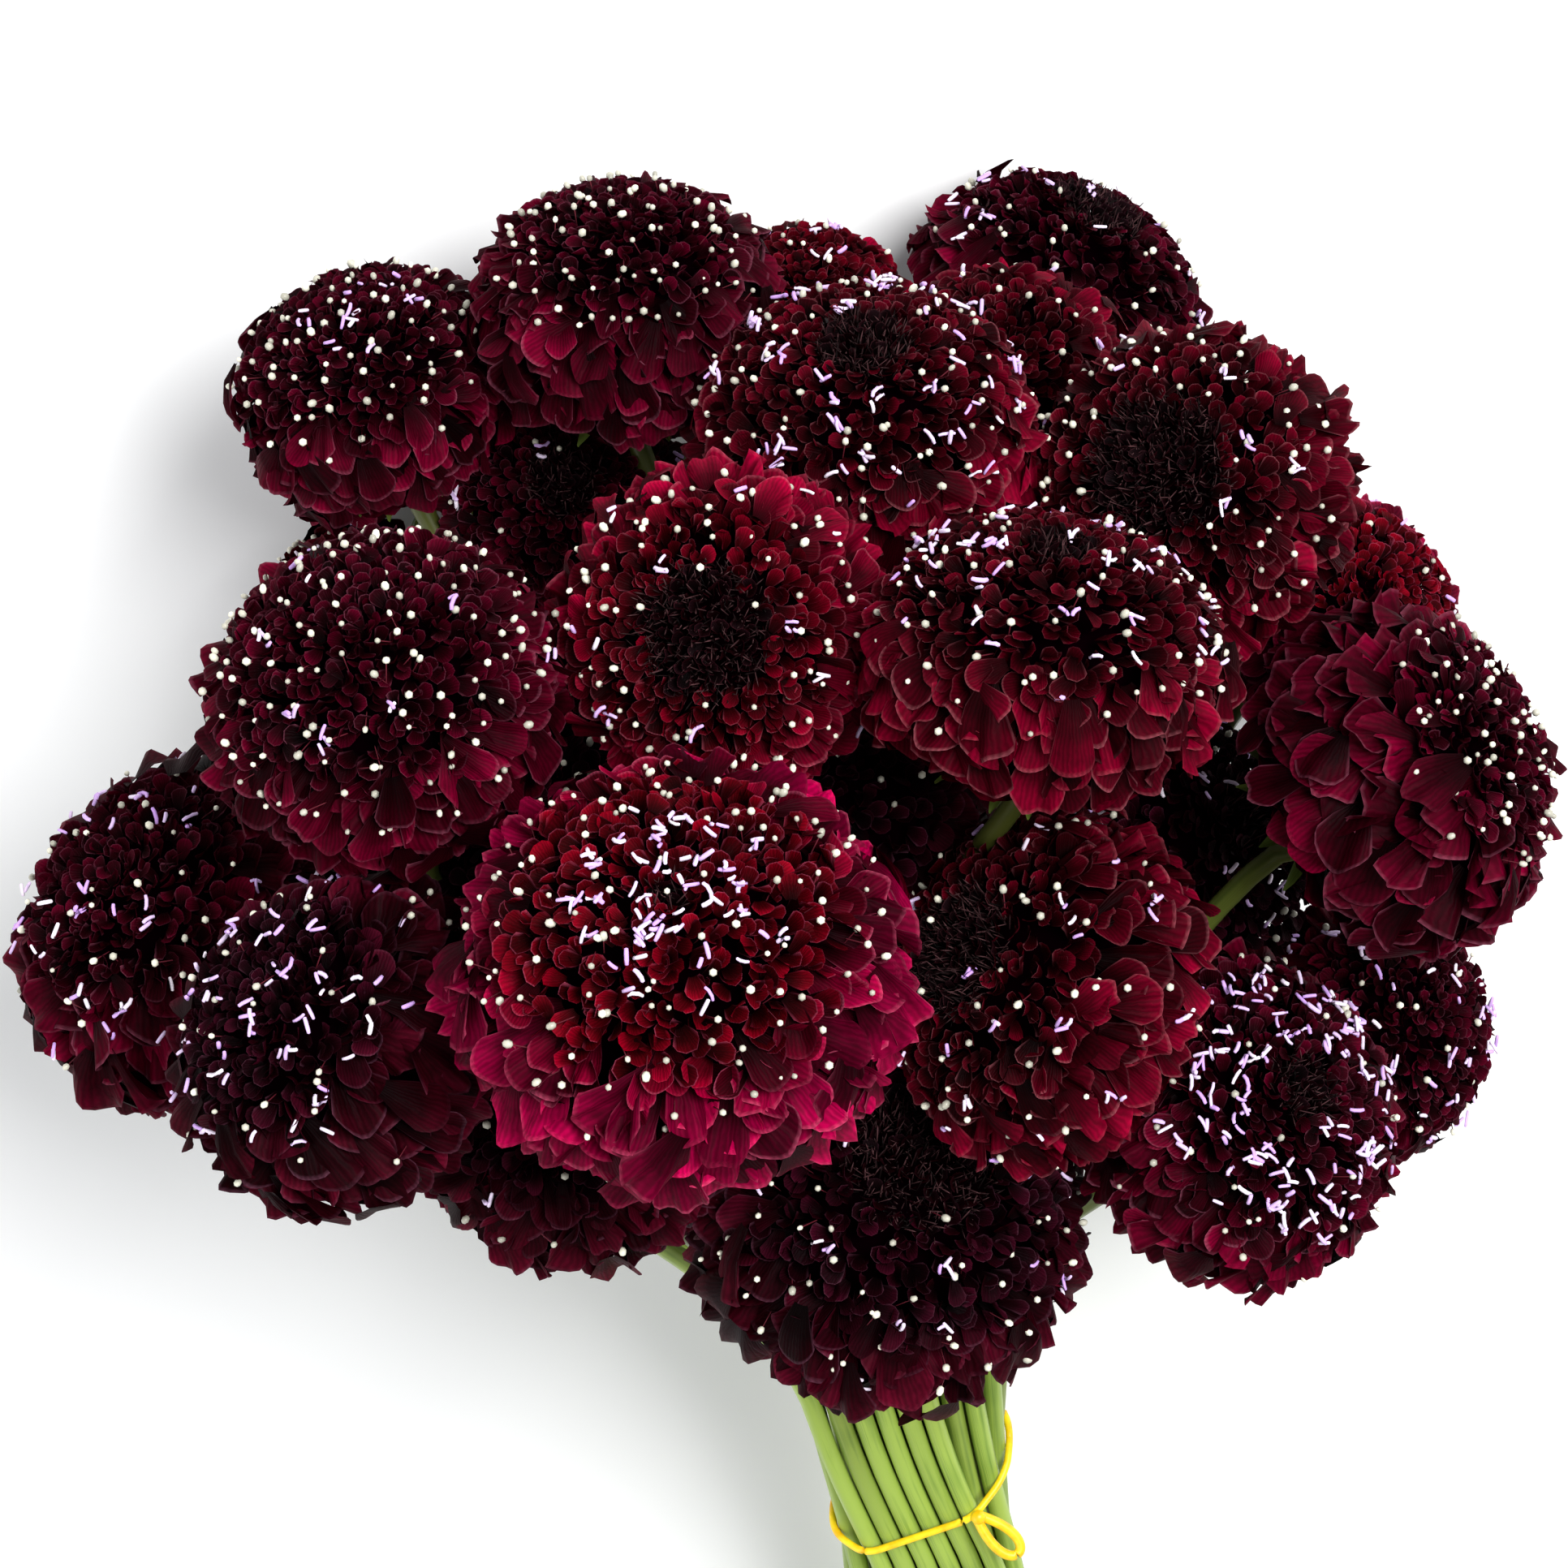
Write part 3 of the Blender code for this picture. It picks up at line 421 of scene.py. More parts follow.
def spots(start, end, pitch, radius, draw):
    """Turns from the crown and ways round of spots about a pitch apart, between two turns.

    A belt of the globe has the area 2 pi * out * ds. It holds area / pitch^2 spots.
    Spot k lies where their count reaches k + 1/2, and k golden angles round.
    """
    turn = np.linspace(start, end, 500)
    out = HEAD_WIDE * radius * np.sin(turn)
    step = radius * np.gradient(turn) * np.hypot(np.cos(turn), HEAD_HIGH * np.sin(turn))
    count = np.cumsum(math.tau * out * step / pitch(turn) ** 2)
    k = np.arange(max(1, int(count[-1])))
    return np.interp(k + 0.5, count, turn), k * GOLDEN_ANGLE + draw.uniform(0, math.tau)


def crown_sides(index):
    """Two directions square to a head's crown and to each other, from which the way round counts."""
    first = unit(np.cross(CROWN[index], [0.31, -0.42, 0.85]))
    return first, np.cross(CROWN[index], first)


def on_globe(index, turn, way):
    """Points on a head, with the directions out of it, down from the crown and round it.

    The head is a flattened globe of radius R: out = 1.02 R sin(turn), height = 0.80 R cos(turn).
    """
    first, second = crown_sides(index)
    round_way = np.cos(way)[:, None] * first + np.sin(way)[:, None] * second
    sin, cos = np.sin(turn)[:, None], np.cos(turn)[:, None]
    crown = CROWN[index]
    point = FULL_RADIUS[index] * (HEAD_WIDE * sin * round_way + HEAD_HIGH * cos * crown)
    outward = unit(sin / HEAD_WIDE * round_way + cos / HEAD_HIGH * crown)
    down = unit(HEAD_WIDE * cos * round_way - HEAD_HIGH * sin * crown)
    return point, outward, down, np.cross(outward, down)


# %% [markdown]
# ## Heads that press on each other
# In a tied bunch the heads squash their neighbours. Two soft globes meet in the flat circle
# where their surfaces cross. A petal that would pass its plane by much, or the table, is drawn
# back towards the middle of its head, softly, so that the layers stay in order.

# %% Press a head's points
INTERLOCK = 6.0  # mm that neighbours' petals reach past the plane between their globes
FLOOR_CLEAR = 0.5  # mm between the lowest petals and the table
NEAR_PLANE = 1.1  # head radii, past which a plane does nothing
SOFT_FROM, SOFT_REST = 0.85, 0.15  # of the reach: untouched, and left for what is squashed


def press(index, points):
    """Draw points about a head's middle back from the planes to its neighbours and the floor.

    Along a plane's direction, a height h past 0.85 of the reach becomes
    reach * (0.85 + 0.15 * (1 - exp(-(h / reach - 0.85) / 0.15))), and the point shrinks with it.
    """
    away = CENTRE - CENTRE[index]
    far = np.linalg.norm(away, axis=1)
    planes = []
    for k in np.flatnonzero(far):
        meet = (far[k] ** 2 + RADIUS[index] ** 2 - RADIUS[k] ** 2) / (2 * far[k])
        planes.append((away[k] / far[k], meet + INTERLOCK))
    planes.append((np.array([0.0, 0.0, -1.0]), CENTRE[index][2] - FLOOR_CLEAR))
    for way, reach in planes:
        if reach < NEAR_PLANE * RADIUS[index]:
            height = points @ way / reach
            squashed = 1 - np.exp(-np.maximum(height - SOFT_FROM, 0.0) / SOFT_REST)
            soft = SOFT_FROM + SOFT_REST * squashed
            shrink = np.where(height > SOFT_FROM, soft / np.maximum(height, SOFT_FROM), 1.0)
            points = points * shrink[..., None]
    return points


def settled(index, made):
    """A head's shape, worked out about zero, is pressed and moved to the head's own place."""
    made["points"] = CENTRE[index] + press(index, made["points"])
    return made


# %% [markdown]
# ## Petals of one head
# The pitch of the florets grows from the crown to the skirt. Each petal leans away from the
# crown, more so further down, and its numbers are drawn around the mean for its place. Its
# red is darkest at the claw, a painted shade where no light gets, and pale in a thin line along
# the rim, a painted highlight.
# From below, a head shows broad petals that spread from the top of the stem, so 16 of them
# close it there.

# %% Pitch, lean and numbers of the petals
FLORET_ROWS, FLORET_COLS = [0.1, 0.6, 0.95, 1.0], [-1.0, -0.88, -0.4, 0.4, 0.88, 1.0]
SKIRT_ROWS = [0.08, 0.55, 0.94, 1.0]
SKIRT_COLS = [-1.0, -0.97, -0.84, -0.62, -0.37, -0.12, 0.12, 0.37, 0.62, 0.84, 0.97, 1.0]
USUAL_RADIUS = 31.0  # mm, the head that the pitch is given for
LARGE_PETALS, LARGER = 45, 1.3  # a skirt that begins this near the crown has larger petals
SHOWN = 21  # heads past this index are guessed, and their fewer petals are larger
HIDDEN_LARGER = 1.2


def petal_pitch(turn, skirt_from):
    """Millimetres between petals on a head of the usual radius: florets grow to the skirt, which is wide."""
    wide = 1.0 if skirt_from > LARGE_PETALS else LARGER
    return np.interp(np.degrees(turn), [0, 20, 45, skirt_from, skirt_from + 14, 95, 110, 140],
                     [1.9, 2.2, 2.7, 3.2, 4.8 * wide, 5.4 * wide, 5.4, 5.8])


def petal_ways(outward, down, side, closed, skirt, under, draw):
    """Where each petal points and faces. Lean = 24 degrees if closed, else 44, and 20 more underneath.

    The lean is away from the crown, turned round the outward direction by a random swing.
    """
    count = len(skirt)
    lean = (np.radians(np.where(closed, 24, 44) + 20 * under)
            + draw.normal(0, 0.24, count) * (1 - 0.3 * skirt - 0.3 * under))
    swing = draw.normal(0, 1.0, count) * (1 - 0.65 * skirt)
    away = np.cos(swing)[:, None] * down + np.sin(swing)[:, None] * side
    along = np.cos(lean)[:, None] * outward + np.sin(lean)[:, None] * away
    face = np.sin(lean)[:, None] * outward - np.cos(lean)[:, None] * away
    roll = draw.normal(0, 0.4, count) * (1 - 0.4 * skirt - 0.3 * under)
    return along, unit(face + roll[:, None] * np.cross(along, face))


def petal_numbers(pitch, radius, skirt, under, draw):
    """The petal formula's numbers. Each one goes from a floret's to a skirt petal's with skirt, 0 to 1."""
    count = len(skirt)
    width = pitch * (1.1 + 0.15 * skirt + draw.uniform(0.0, 0.42, count) * (1 + 0.6 * skirt))
    return {
        "half": width / 2,
        "droop": draw.uniform(0.8, 1.2, count),
        "length": (1 - skirt) * (1.4 + 1.3 * pitch) + skirt * 0.42 * radius * draw.uniform(0.8, 1.15, count),
        "cup": (1 - skirt) * draw.uniform(0.1, 0.7, count) + skirt * draw.uniform(-0.3, 0.45, count),
        "curl": ((1 - skirt) * draw.uniform(-0.05, 0.2, count)
                 + skirt * draw.uniform(-0.34, 0.2, count) * (1 - 0.8 * under)),
        "ruffle": width * draw.uniform(0.03, 0.06, count) * (1 + 2.9 * skirt) * (1 - 0.4 * under),
        "waves": draw.uniform(0.8, 1.4 + 0.6 * skirt, count),
        "phase": draw.uniform(0, math.tau, count),
    }


# %% Florets and skirt
CLOSED_FLORET = linear("#180a0e")
SKIRT_RISE = 0.07  # of the radius, by which skirt petals stand out more or less


def petal_tones(tints, closed, skirt, rows, cols, draw):
    """Tones from claw to rim: hue * (0.05 + 0.95 b^2.5), a painted shade towards the claw, with a share of
    the painted rim highlight's tone at the edge.
    """
    count = len(skirt)
    floret_red, skirt_red, rim_highlight_red = REDS[tints]
    vivid = np.clip(np.exp(draw.normal(-0.28, 0.65, count)), 0.1, 1.8)[:, None]
    hue = (floret_red + skirt[:, None] * (skirt_red - floret_red)) * vivid
    hue = np.where(closed[:, None], CLOSED_FLORET * draw.uniform(0.2, 1.1, (count, 1)), hue)
    b, a = np.array(rows)[None, :, None, None], np.abs(np.array(cols))[None, None, :, None]
    # Painted highlight: a pale line along the rim and side edges. Painted shade: the red darkens towards the
    # claw.
    rim_highlight_share = np.where(closed, 0.1, draw.uniform(0.0, 0.5, count))[:, None, None, None]
    rim = np.where((a == 1) | (b == 1), 1.0, 0.0) * rim_highlight_share
    shade = 0.05 + 0.95 * b ** 2.5
    return hue[:, None, None] * shade * (1 - rim) + rim * b ** 2 * rim_highlight_red


def heart_edge(index, size):
    """The turn in degrees at which a heart of this radius in mm ends."""
    return math.degrees(math.asin(min(0.95, size / (HEAD_WIDE * RADIUS[index]))))


def petals(index, start, end, rows, cols, draw):
    """The petals of one head between two turns from its crown, as sheets."""
    radius = RADIUS[index]
    tints, heart_size, skirt_from = BLOOMS[index][5:8]
    scale = (radius / USUAL_RADIUS) ** 0.8 * (HIDDEN_LARGER if index > SHOWN else 1.0)
    turn, way = spots(start, end, lambda t: scale * petal_pitch(t, skirt_from), radius, draw)
    count = len(turn)
    pitch = scale * petal_pitch(turn, skirt_from)
    turn = turn + draw.normal(0, 0.3, count) * pitch / radius
    way = way + draw.normal(0, 0.3, count) * pitch / (radius * np.sin(np.maximum(turn, 0.1)))
    point, outward, down, side = on_globe(index, turn, way)
    closed = np.degrees(turn) < heart_edge(index, heart_size)
    skirt = np.clip((np.degrees(turn) - skirt_from + 4) / 22, 0, 1)
    under = np.clip((np.degrees(turn) - 95) / 30, 0, 1)
    along, face = petal_ways(outward, down, side, closed, skirt, under, draw)
    numbers = petal_numbers(pitch, radius, skirt, under, draw)
    rise = (draw.uniform(-0.055, 0.03, count)
            + SKIRT_RISE * skirt * (1 - under) * draw.uniform(-0.6, 1, count) + 0.02 * under)
    points = petal_sheets(point * (1.0 + rise)[:, None], along, face, numbers, rows, cols)
    tones = petal_tones(tints, closed, skirt, rows, cols, draw)
    return settled(index, sheets(points, tones, petal_velvet))


# %% The petals underneath
UNDER_PETALS = 16


def underside(index, draw):
    """The lowest petals, seen from below: broad ones from the stem's top out to the skirt's rim.

    They lie on a shallow cone, from 0.2 R out and 0.5 R down to about 0.85 R out and 0.37 R down.
    """
    count, radius, crown = UNDER_PETALS, FULL_RADIUS[index], CROWN[index]
    way = (np.arange(count) + draw.normal(0, 0.12, count)) * math.tau / count
    _, out, _, side = on_globe(index, np.full(count, math.pi / 2), way)
    claw = radius * (0.2 * out - 0.5 * crown)
    tip_out, tip_down = draw.uniform(0.8, 0.9, (count, 1)), draw.uniform(0.33, 0.41, (count, 1))
    tip = radius * (tip_out * out - tip_down * crown)
    along = unit(tip - claw)
    numbers = {
        "half": 0.27 * radius * draw.uniform(0.85, 1.1, count),
        "droop": draw.uniform(0.8, 1.1, count),
        "length": np.linalg.norm(tip - claw, axis=1),
        "cup": draw.uniform(-0.1, 0.25, count),
        "curl": draw.uniform(-0.08, 0.02, count),
        "ruffle": 0.04 * radius * draw.uniform(0.6, 1.2, count),
        "waves": draw.uniform(1.0, 2.0, count),
        "phase": draw.uniform(0, math.tau, count),
    }
    face = np.cross(along, unit(np.cross(crown, out)))
    points = petal_sheets(tip, along, face, numbers, SKIRT_ROWS, SKIRT_COLS)
    b = np.array(SKIRT_ROWS)[None, :, None, None]
    hue = REDS[BLOOMS[index][5]][1] * draw.uniform(0.35, 0.9, (count, 1))
    # Darker towards the claw: painted shade, as on the other petals.
    tones = hue[:, None, None] * (0.25 + 0.75 * b)
    return settled(index, sheets(points, tones, petal_velvet))


# %% [markdown]
# ## Core and heart
# Behind the petals a dark core stops the eye from seeing through the head. The unopened
# heart is a low, nearly black cushion: closed florets with fine stiff bristles among them.

# %% Core and bristles
SHADOW = linear("#060002")
BRISTLE_BROWN = linear("#40282a")
BRISTLES = 3.0  # on a heart, in its radius in mm squared: about one for each square millimetre
BRISTLE_ROOT, BRISTLE_RADIUS = 2.6, 0.14


def core(index):
    """A closed dark globe inside the petals, as one rod of wide rings about the crown axis.

    In the head's radius, its middle lies 0.08 up, it is 0.52 high either way and 0.76 wide.
    """
    turn = np.linspace(0, math.pi, 12)
    path = ((0.08 + 0.52 * np.cos(turn)) * FULL_RADIUS[index])[:, None] * CROWN[index]
    wide = 0.76 * FULL_RADIUS[index] * np.sin(turn)
    return settled(index, rods(path[None], wide[None], 20, SHADOW, head_shadow))


def even_spots(count, first, last, draw):
    """Turns and ways round of spots spread evenly by area between two turns in degrees.

    The area of a globe above a turn grows with 1 - cos(turn), so the cosines are evenly
    spaced. A normal draw of about a third of the mean pitch moves each spot.
    """
    part = (np.arange(count) + 0.5) / count
    top, low = math.cos(math.radians(first)), math.cos(math.radians(last))
    turn = np.arccos(top + part * (low - top))
    pitch = math.sqrt(math.tau * (top - low) / count)
    way = np.arange(count) * GOLDEN_ANGLE + draw.uniform(0, math.tau)
    turn = np.abs(turn + draw.normal(0, 0.4 * pitch, count))
    return turn, way + draw.normal(0, 0.4 * pitch, count) / np.sin(np.maximum(turn, 0.15))


def leaning(outward, down, side, spread, draw):
    """Directions that lean at random: outward + normal draw * down + normal draw * side."""
    lean_down, lean_aside = draw.normal(0, spread, (2, len(outward), 1))
    return unit(outward + lean_down * down + lean_aside * side)


def heart(index, size, draw):
    """Bristles on the unopened heart: three-sided needles from under the surface, leaning at random."""
    turn, way = even_spots(int(BRISTLES * size ** 2), 0, heart_edge(index, size) * 1.06, draw)
    point, outward, down, side = on_globe(index, turn, way)
    count = len(turn)
    ahead = leaning(outward, down, side, 0.55, draw)
    part = np.array([0.0, 0.1, 0.7, 1.0])
    grown = draw.uniform(2.8, 4.2, count)
    path = (point - BRISTLE_ROOT * outward)[:, None] + ahead[:, None] * (grown[:, None] * part)[..., None]
    radius = BRISTLE_RADIUS * np.array([0.0, 1.0, 1.0, 0.0]) * draw.uniform(0.7, 1.3, (count, 1))
    brown = BRISTLE_BROWN * draw.uniform(0.1, 1.3, (count, 1, 1)) ** 2
    return settled(index, rods(path, radius, 3, brown, heart_bristle))


# %% [markdown]
# ## Stigmas and anthers
# A stigma is a tiny cream knob that stands just clear of the petals. Anthers are short
# lilac to white rods, often two or three from one floret, that point every way.

# %% Cream knobs on their styles
SEEN_SHARE = 0.68  # of a belt of stigmas or anthers that shows from the front
KNOB_RADIUS, STYLE_RADIUS = 0.70, 0.13
STIGMA_CREAM, STYLE_RED = linear("#fffbe6"), linear("#5a1020")


def stigmas(index, belt, draw):
    """Egg-shaped knobs on thin styles: radius = knob * sin(angle), place = -knob * cos(angle)."""
    count, first, last = belt
    turn, way = even_spots(int(count / SEEN_SHARE), first, last, draw)
    point, outward, down, side = on_globe(index, turn, way)
    count = len(turn)
    ahead = leaning(outward, down, side, 0.5, draw)
    knob = KNOB_RADIUS * draw.uniform(0.7, 1.2, count)
    angle = np.linspace(0, math.pi, 5)
    middle = point + draw.uniform(-0.3, 1.1, (count, 1)) * outward
    half_long = knob[:, None] * draw.uniform(0.8, 1.4, (count, 1))
    path = middle[:, None] + ahead[:, None] * (-half_long * np.cos(angle))[..., None]
    cream = STIGMA_CREAM * draw.uniform(0.4, 1.0, (count, 1, 1))
    knobs = rods(path, knob[:, None] * np.sin(angle), 6, cream, waxy_stigma)
    part = np.array([-4.5, -4.0, -0.5, 0.0])
    path = middle[:, None] + ahead[:, None] * part[None, :, None]
    styles = rods(path, np.full((count, 4), STYLE_RADIUS), 3, STYLE_RED, pollen_anther)
    return [settled(index, knobs), settled(index, styles)]


# %% Lilac rods
ANTHER_RADIUS = 0.42
ANTHER_LILAC, ANTHER_WHITE = linear("#d3a4f0"), linear("#fdf2fd")


def anthers(index, belt, draw):
    """Pollen rods in tufts of one to three, which lie across each other near one spot.

    A rod's path is straight but for a bend of 4 * (1/4 - part^2) to one side, part from -1/2 to 1/2.
    """
    count, first, last = belt
    turn, way = even_spots(max(1, int(count / 2 / SEEN_SHARE)), first, last, draw)
    tuft = draw.integers(1, 4, len(turn))
    turn, way = np.repeat(turn, tuft), np.repeat(way, tuft)
    count = len(turn)
    turn = np.abs(turn + draw.normal(0, 1.0, count) / RADIUS[index])
    way = way + draw.normal(0, 1.0, count) / (RADIUS[index] * np.sin(np.maximum(turn, 0.1)))
    point, outward, down, side = on_globe(index, turn, way)
    heading = draw.uniform(0, math.tau, (count, 1))
    flat = np.cos(heading) * down + np.sin(heading) * side
    ahead = unit(flat + draw.uniform(-0.2, 1.0, (count, 1)) * outward)
    long = draw.uniform(2.0, 3.5, count)
    part = np.array([-0.5, -0.45, -0.2, 0.2, 0.45, 0.5])
    middle = point + draw.uniform(-0.3, 1.3, (count, 1)) * outward
    bend = draw.normal(0, 0.1, (count, 1)) * long[:, None] * (0.25 - part ** 2) * 4
    path = (middle[:, None] + ahead[:, None] * (long[:, None] * part)[..., None]
            + bend[..., None] * unit(np.cross(ahead, outward))[:, None])
    stout = draw.uniform(0.75, 1.1, (count, 1))
    radius = ANTHER_RADIUS * np.array([0.0, 0.85, 1.0, 1.0, 0.85, 0.0]) * stout
    mix = draw.uniform(0, 1, (count, 1, 1)) ** 1.3
    colour = ANTHER_LILAC * (1 - mix) + ANTHER_WHITE * mix
    return settled(index, rods(path, radius, 5, colour, pollen_anther))


# %% [markdown]
# ## Bracts
# Under the skirt a ring of narrow green bracts spreads from the top of the stem. They only
# show from behind and from below, but without them the head looks glued on.

# %% Green bracts
BRACTS, BRACT_LENGTH, BRACT_HALF = 10, 0.36, 1.6  # how many, length in head radii, half width in mm


def bracts(index, draw):
    """Narrow leaves under a head: half width = 1.6 mm * (0.05 + sin(pi * b^0.8))^0.6 from foot to tip."""
    crown, radius = CROWN[index], RADIUS[index]
    way = np.arange(BRACTS) * math.tau / BRACTS + draw.normal(0, 0.1, BRACTS)
    first, second = crown_sides(index)
    out = np.cos(way)[:, None] * first + np.sin(way)[:, None] * second
    b, a = np.linspace(0, 1, 7)[None, :, None, None], np.linspace(-1, 1, 4)[None, None, :, None]
    length = BRACT_LENGTH * radius * draw.uniform(0.85, 1.15, (BRACTS, 1, 1, 1))
    seat = -0.56 * radius * crown
    width = BRACT_HALF * (0.05 + np.sin(math.pi * b ** 0.8)) ** 0.6
    sag = 0.12 * radius * b ** 2 + 0.4 * (1 - a ** 2)
    points = (seat + out[:, None, None] * (0.2 * radius + length * b)
              + a * width * np.cross(crown, out)[:, None, None] - sag * crown)
    tones = np.full(3, 0.45) * draw.uniform(0.7, 1.1, (BRACTS, 1, 1, 1))
    return settled(index, sheets(points, tones, stem_skin))


# %% [markdown]
# ## The heads
# Each head becomes one mesh of all its parts. It has a seed of its own, so a change to one
# head leaves the others as they are.

# %% Build the heads
SKIRT_END = math.radians(119)
triangles = 0
for index, name in enumerate(NAMES):
    draw = np.random.default_rng(40 + index)
    heart_size, skirt_from, stigma_belt, anther_belt = BLOOMS[index][6:]
    edge = math.radians(skirt_from)
    shapes = [petals(index, 0.01, edge, FLORET_ROWS, FLORET_COLS, draw),
              petals(index, edge, SKIRT_END, SKIRT_ROWS, SKIRT_COLS, draw), underside(index, draw),
              core(index), bracts(index, draw)]
    shapes += stigmas(index, stigma_belt, draw)
    if heart_size:
        shapes.append(heart(index, heart_size, draw))
    if anther_belt[0]:
        shapes.append(anthers(index, anther_belt, draw))
    piece = make_piece(name + "_petals", shapes, [name])
    triangles += len(piece.data.loops) - 2 * len(piece.data.polygons)
print("heads:", len(BLOOMS), "with", triangles, "triangles")

# %% [markdown]
# ## Stems
# Each stem of the solid model is a bar of six sides with a few corners. Its corners are read
# back from the model, rounded off, and a finer skin is drawn along them, with the green cup
# under the head. A stem is paler where it is cut, and much darker between the heads, where
# hardly any light gets.

# %% Read the stems' lines
CUP_LENGTH = 8.5  # mm, nearer to the head than this lie only points of the cup
SEAT_DOWN, SEAT_GAP = 0.52, 0.3  # the stem's top below a head's middle: in head radii, and mm more
RING_NEAR = 3.0  # mm, less than from ring to ring


def corners_of(node, index):
    """A solid stem's corner points from its head to its cut, in mm, below the cup.

    The six points of a ring lie within 3 mm of a neighbour, and rings lie further apart, so
    joining near points gives the rings. Each corner is the middle of its ring.
    """
    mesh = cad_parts[node].data
    points = np.empty(len(mesh.vertices) * 3)
    mesh.vertices.foreach_get("co", points)
    points = np.unique((points.reshape(-1, 3) / MM).round(3), axis=0)
    seat = CENTRE[index] - SEAT_DOWN * RADIUS[index] * CROWN[index]
    points = points[np.linalg.norm(points - seat, axis=1) > CUP_LENGTH]
    near = np.linalg.norm(points[:, None] - points[None], axis=2) < RING_NEAR
    label = np.arange(len(points))
    for _ in range(6):
        label = np.where(near, label[None], len(points)).min(1)
    rings = np.array([points[label == k].mean(0) for k in np.unique(label)])
    return rings[np.argsort(-rings[:, 1])]


def rounded(line, times=3):
    """Cut a line's corners: each run gives the points at 1/4 and 3/4 of it. The ends stay."""
    for _ in range(times):
        inner = np.stack([0.75 * line[:-1] + 0.25 * line[1:], 0.25 * line[:-1] + 0.75 * line[1:]], 1)
        line = np.concatenate([line[:1], inner.reshape(-1, 3)[1:-1], line[-1:]])
    return line


def along_line(line, marks):
    """Points on a line at distances from its start."""
    travelled = np.concatenate([[0.0], np.cumsum(np.linalg.norm(np.diff(line, axis=0), axis=1))])
    return np.stack([np.interp(marks, travelled, line[:, k]) for k in range(3)], 1), travelled[-1]


# %% Draw the stems' skin
STEM_RADIUS, CHAMFER = 2.1, 0.55  # mm, and the share of it that a cut's face keeps
CUP_MARKS = [0.0, 0.01, 1.0, 2.5, 4.0, 6.0, 9.0]  # mm down the stem
STRAIGHT = 6.0  # mm that a stem runs straight down from its head
LOWEST = 0.05  # mm over the table, to which the lowest stems are flattened
SHADED, LIT = 60, 170  # mm down the stem: still in the heads' shade, and out of it
SHADE = np.array([0.75, 0.8, 0.8])  # how much of red, green and blue the shade takes
CUT_TONE = np.array([1.15, 1.25, 1.1])


def stem_rod(index, line, draw):
    """A stem as one rod, from the cup's seat to the chamfered cut.

    Its radius is a share of the head's down to 6 mm, 2.4 mm at 9 mm and the stem's own from 14 mm.
    """
    _, full = along_line(line, [0.0])
    cut_marks = [full - 0.1, full - 0.05, full]
    marks = np.concatenate([CUP_MARKS, np.linspace(13.0, full - 0.5, 56), cut_marks])
    path, _ = along_line(line, marks)
    radius = RADIUS[index]
    wide = np.interp(marks, [0, 2.5, 6, 9, 14],
                     [0.25 * radius, 0.21 * radius, 0.11 * radius, 2.4, STEM_RADIUS])
    wide[-2] = CHAMFER * STEM_RADIUS
    tones = np.full((1, len(marks), 3), draw.uniform(0.85, 1.15))
    tones *= 1 - np.interp(marks, [SHADED, LIT], [1, 0])[:, None] * SHADE
    tones[:, -3:] *= CUT_TONE
    made = rods(path[None], wide[None], 12, tones, stem_skin)
    made["points"][:, 2] = np.maximum(made["points"][:, 2], LOWEST)
    return made


for index, name in enumerate(NAMES):
    node = name.replace("bloom", "stem")
    seat = CENTRE[index] - (SEAT_DOWN * RADIUS[index] + SEAT_GAP) * CROWN[index]
    line = rounded(np.concatenate([[seat, seat - STRAIGHT * CROWN[index]], corners_of(node, index)]))
    skin = stem_rod(index, line, np.random.default_rng(300 + index))
    make_piece(node + "_skin", [skin], [node])
print("stems:", len(NAMES))

# %% [markdown]
# ## The elastic
# Growers hold such a bunch with one knotted loop of yellow elastic. It is stretched flat
# against the outermost stems, aslant, with a knot at the front and a slack teardrop loop. The
# thread's route is worked out from the stems' places in the tie, as in the solid model. That
# gives where a thread pulled taut would lie, and a mean over near points rounds its corners.

# %% The bundle in the tie
TIE = to_floor((30.0, -156.0, -195.0)) + VIEW_MIDDLE
SLOPE_AT_TIE, SLOPE_AT_CUT, LEAN = math.radians(20.0), math.radians(7.44), math.radians(8.0)
STEM_ROWS, PITCH, STEM_BELOW_TIE = [7, 8, 8, 6], 4.55, 230.0
THREAD_CLEAR = 0.45  # mm between the outermost stems and the thread


def bundle(along):
    """The bundle's middle, side and upper side, along mm from the tie.

    It runs straight up to the heads, and in an arc of even bend down to the cuts.
    """
    bend = (SLOPE_AT_TIE - SLOPE_AT_CUT) / STEM_BELOW_TIE
    slope = SLOPE_AT_TIE + bend * min(along, 0.0)
    heading = np.array([-math.sin(LEAN), math.cos(LEAN), 0.0])
    side = np.array([math.cos(LEAN), math.sin(LEAN), 0.0])
    upward = np.array([0.0, 0.0, 1.0])
    if along < 0:
        forward = (math.sin(slope) - math.sin(SLOPE_AT_TIE)) / bend
        rise = (math.cos(SLOPE_AT_TIE) - math.cos(slope)) / bend
    else:
        forward, rise = along * math.cos(SLOPE_AT_TIE), along * math.sin(SLOPE_AT_TIE)
    return TIE + forward * heading + rise * upward, side, math.cos(slope) * upward - math.sin(slope) * heading


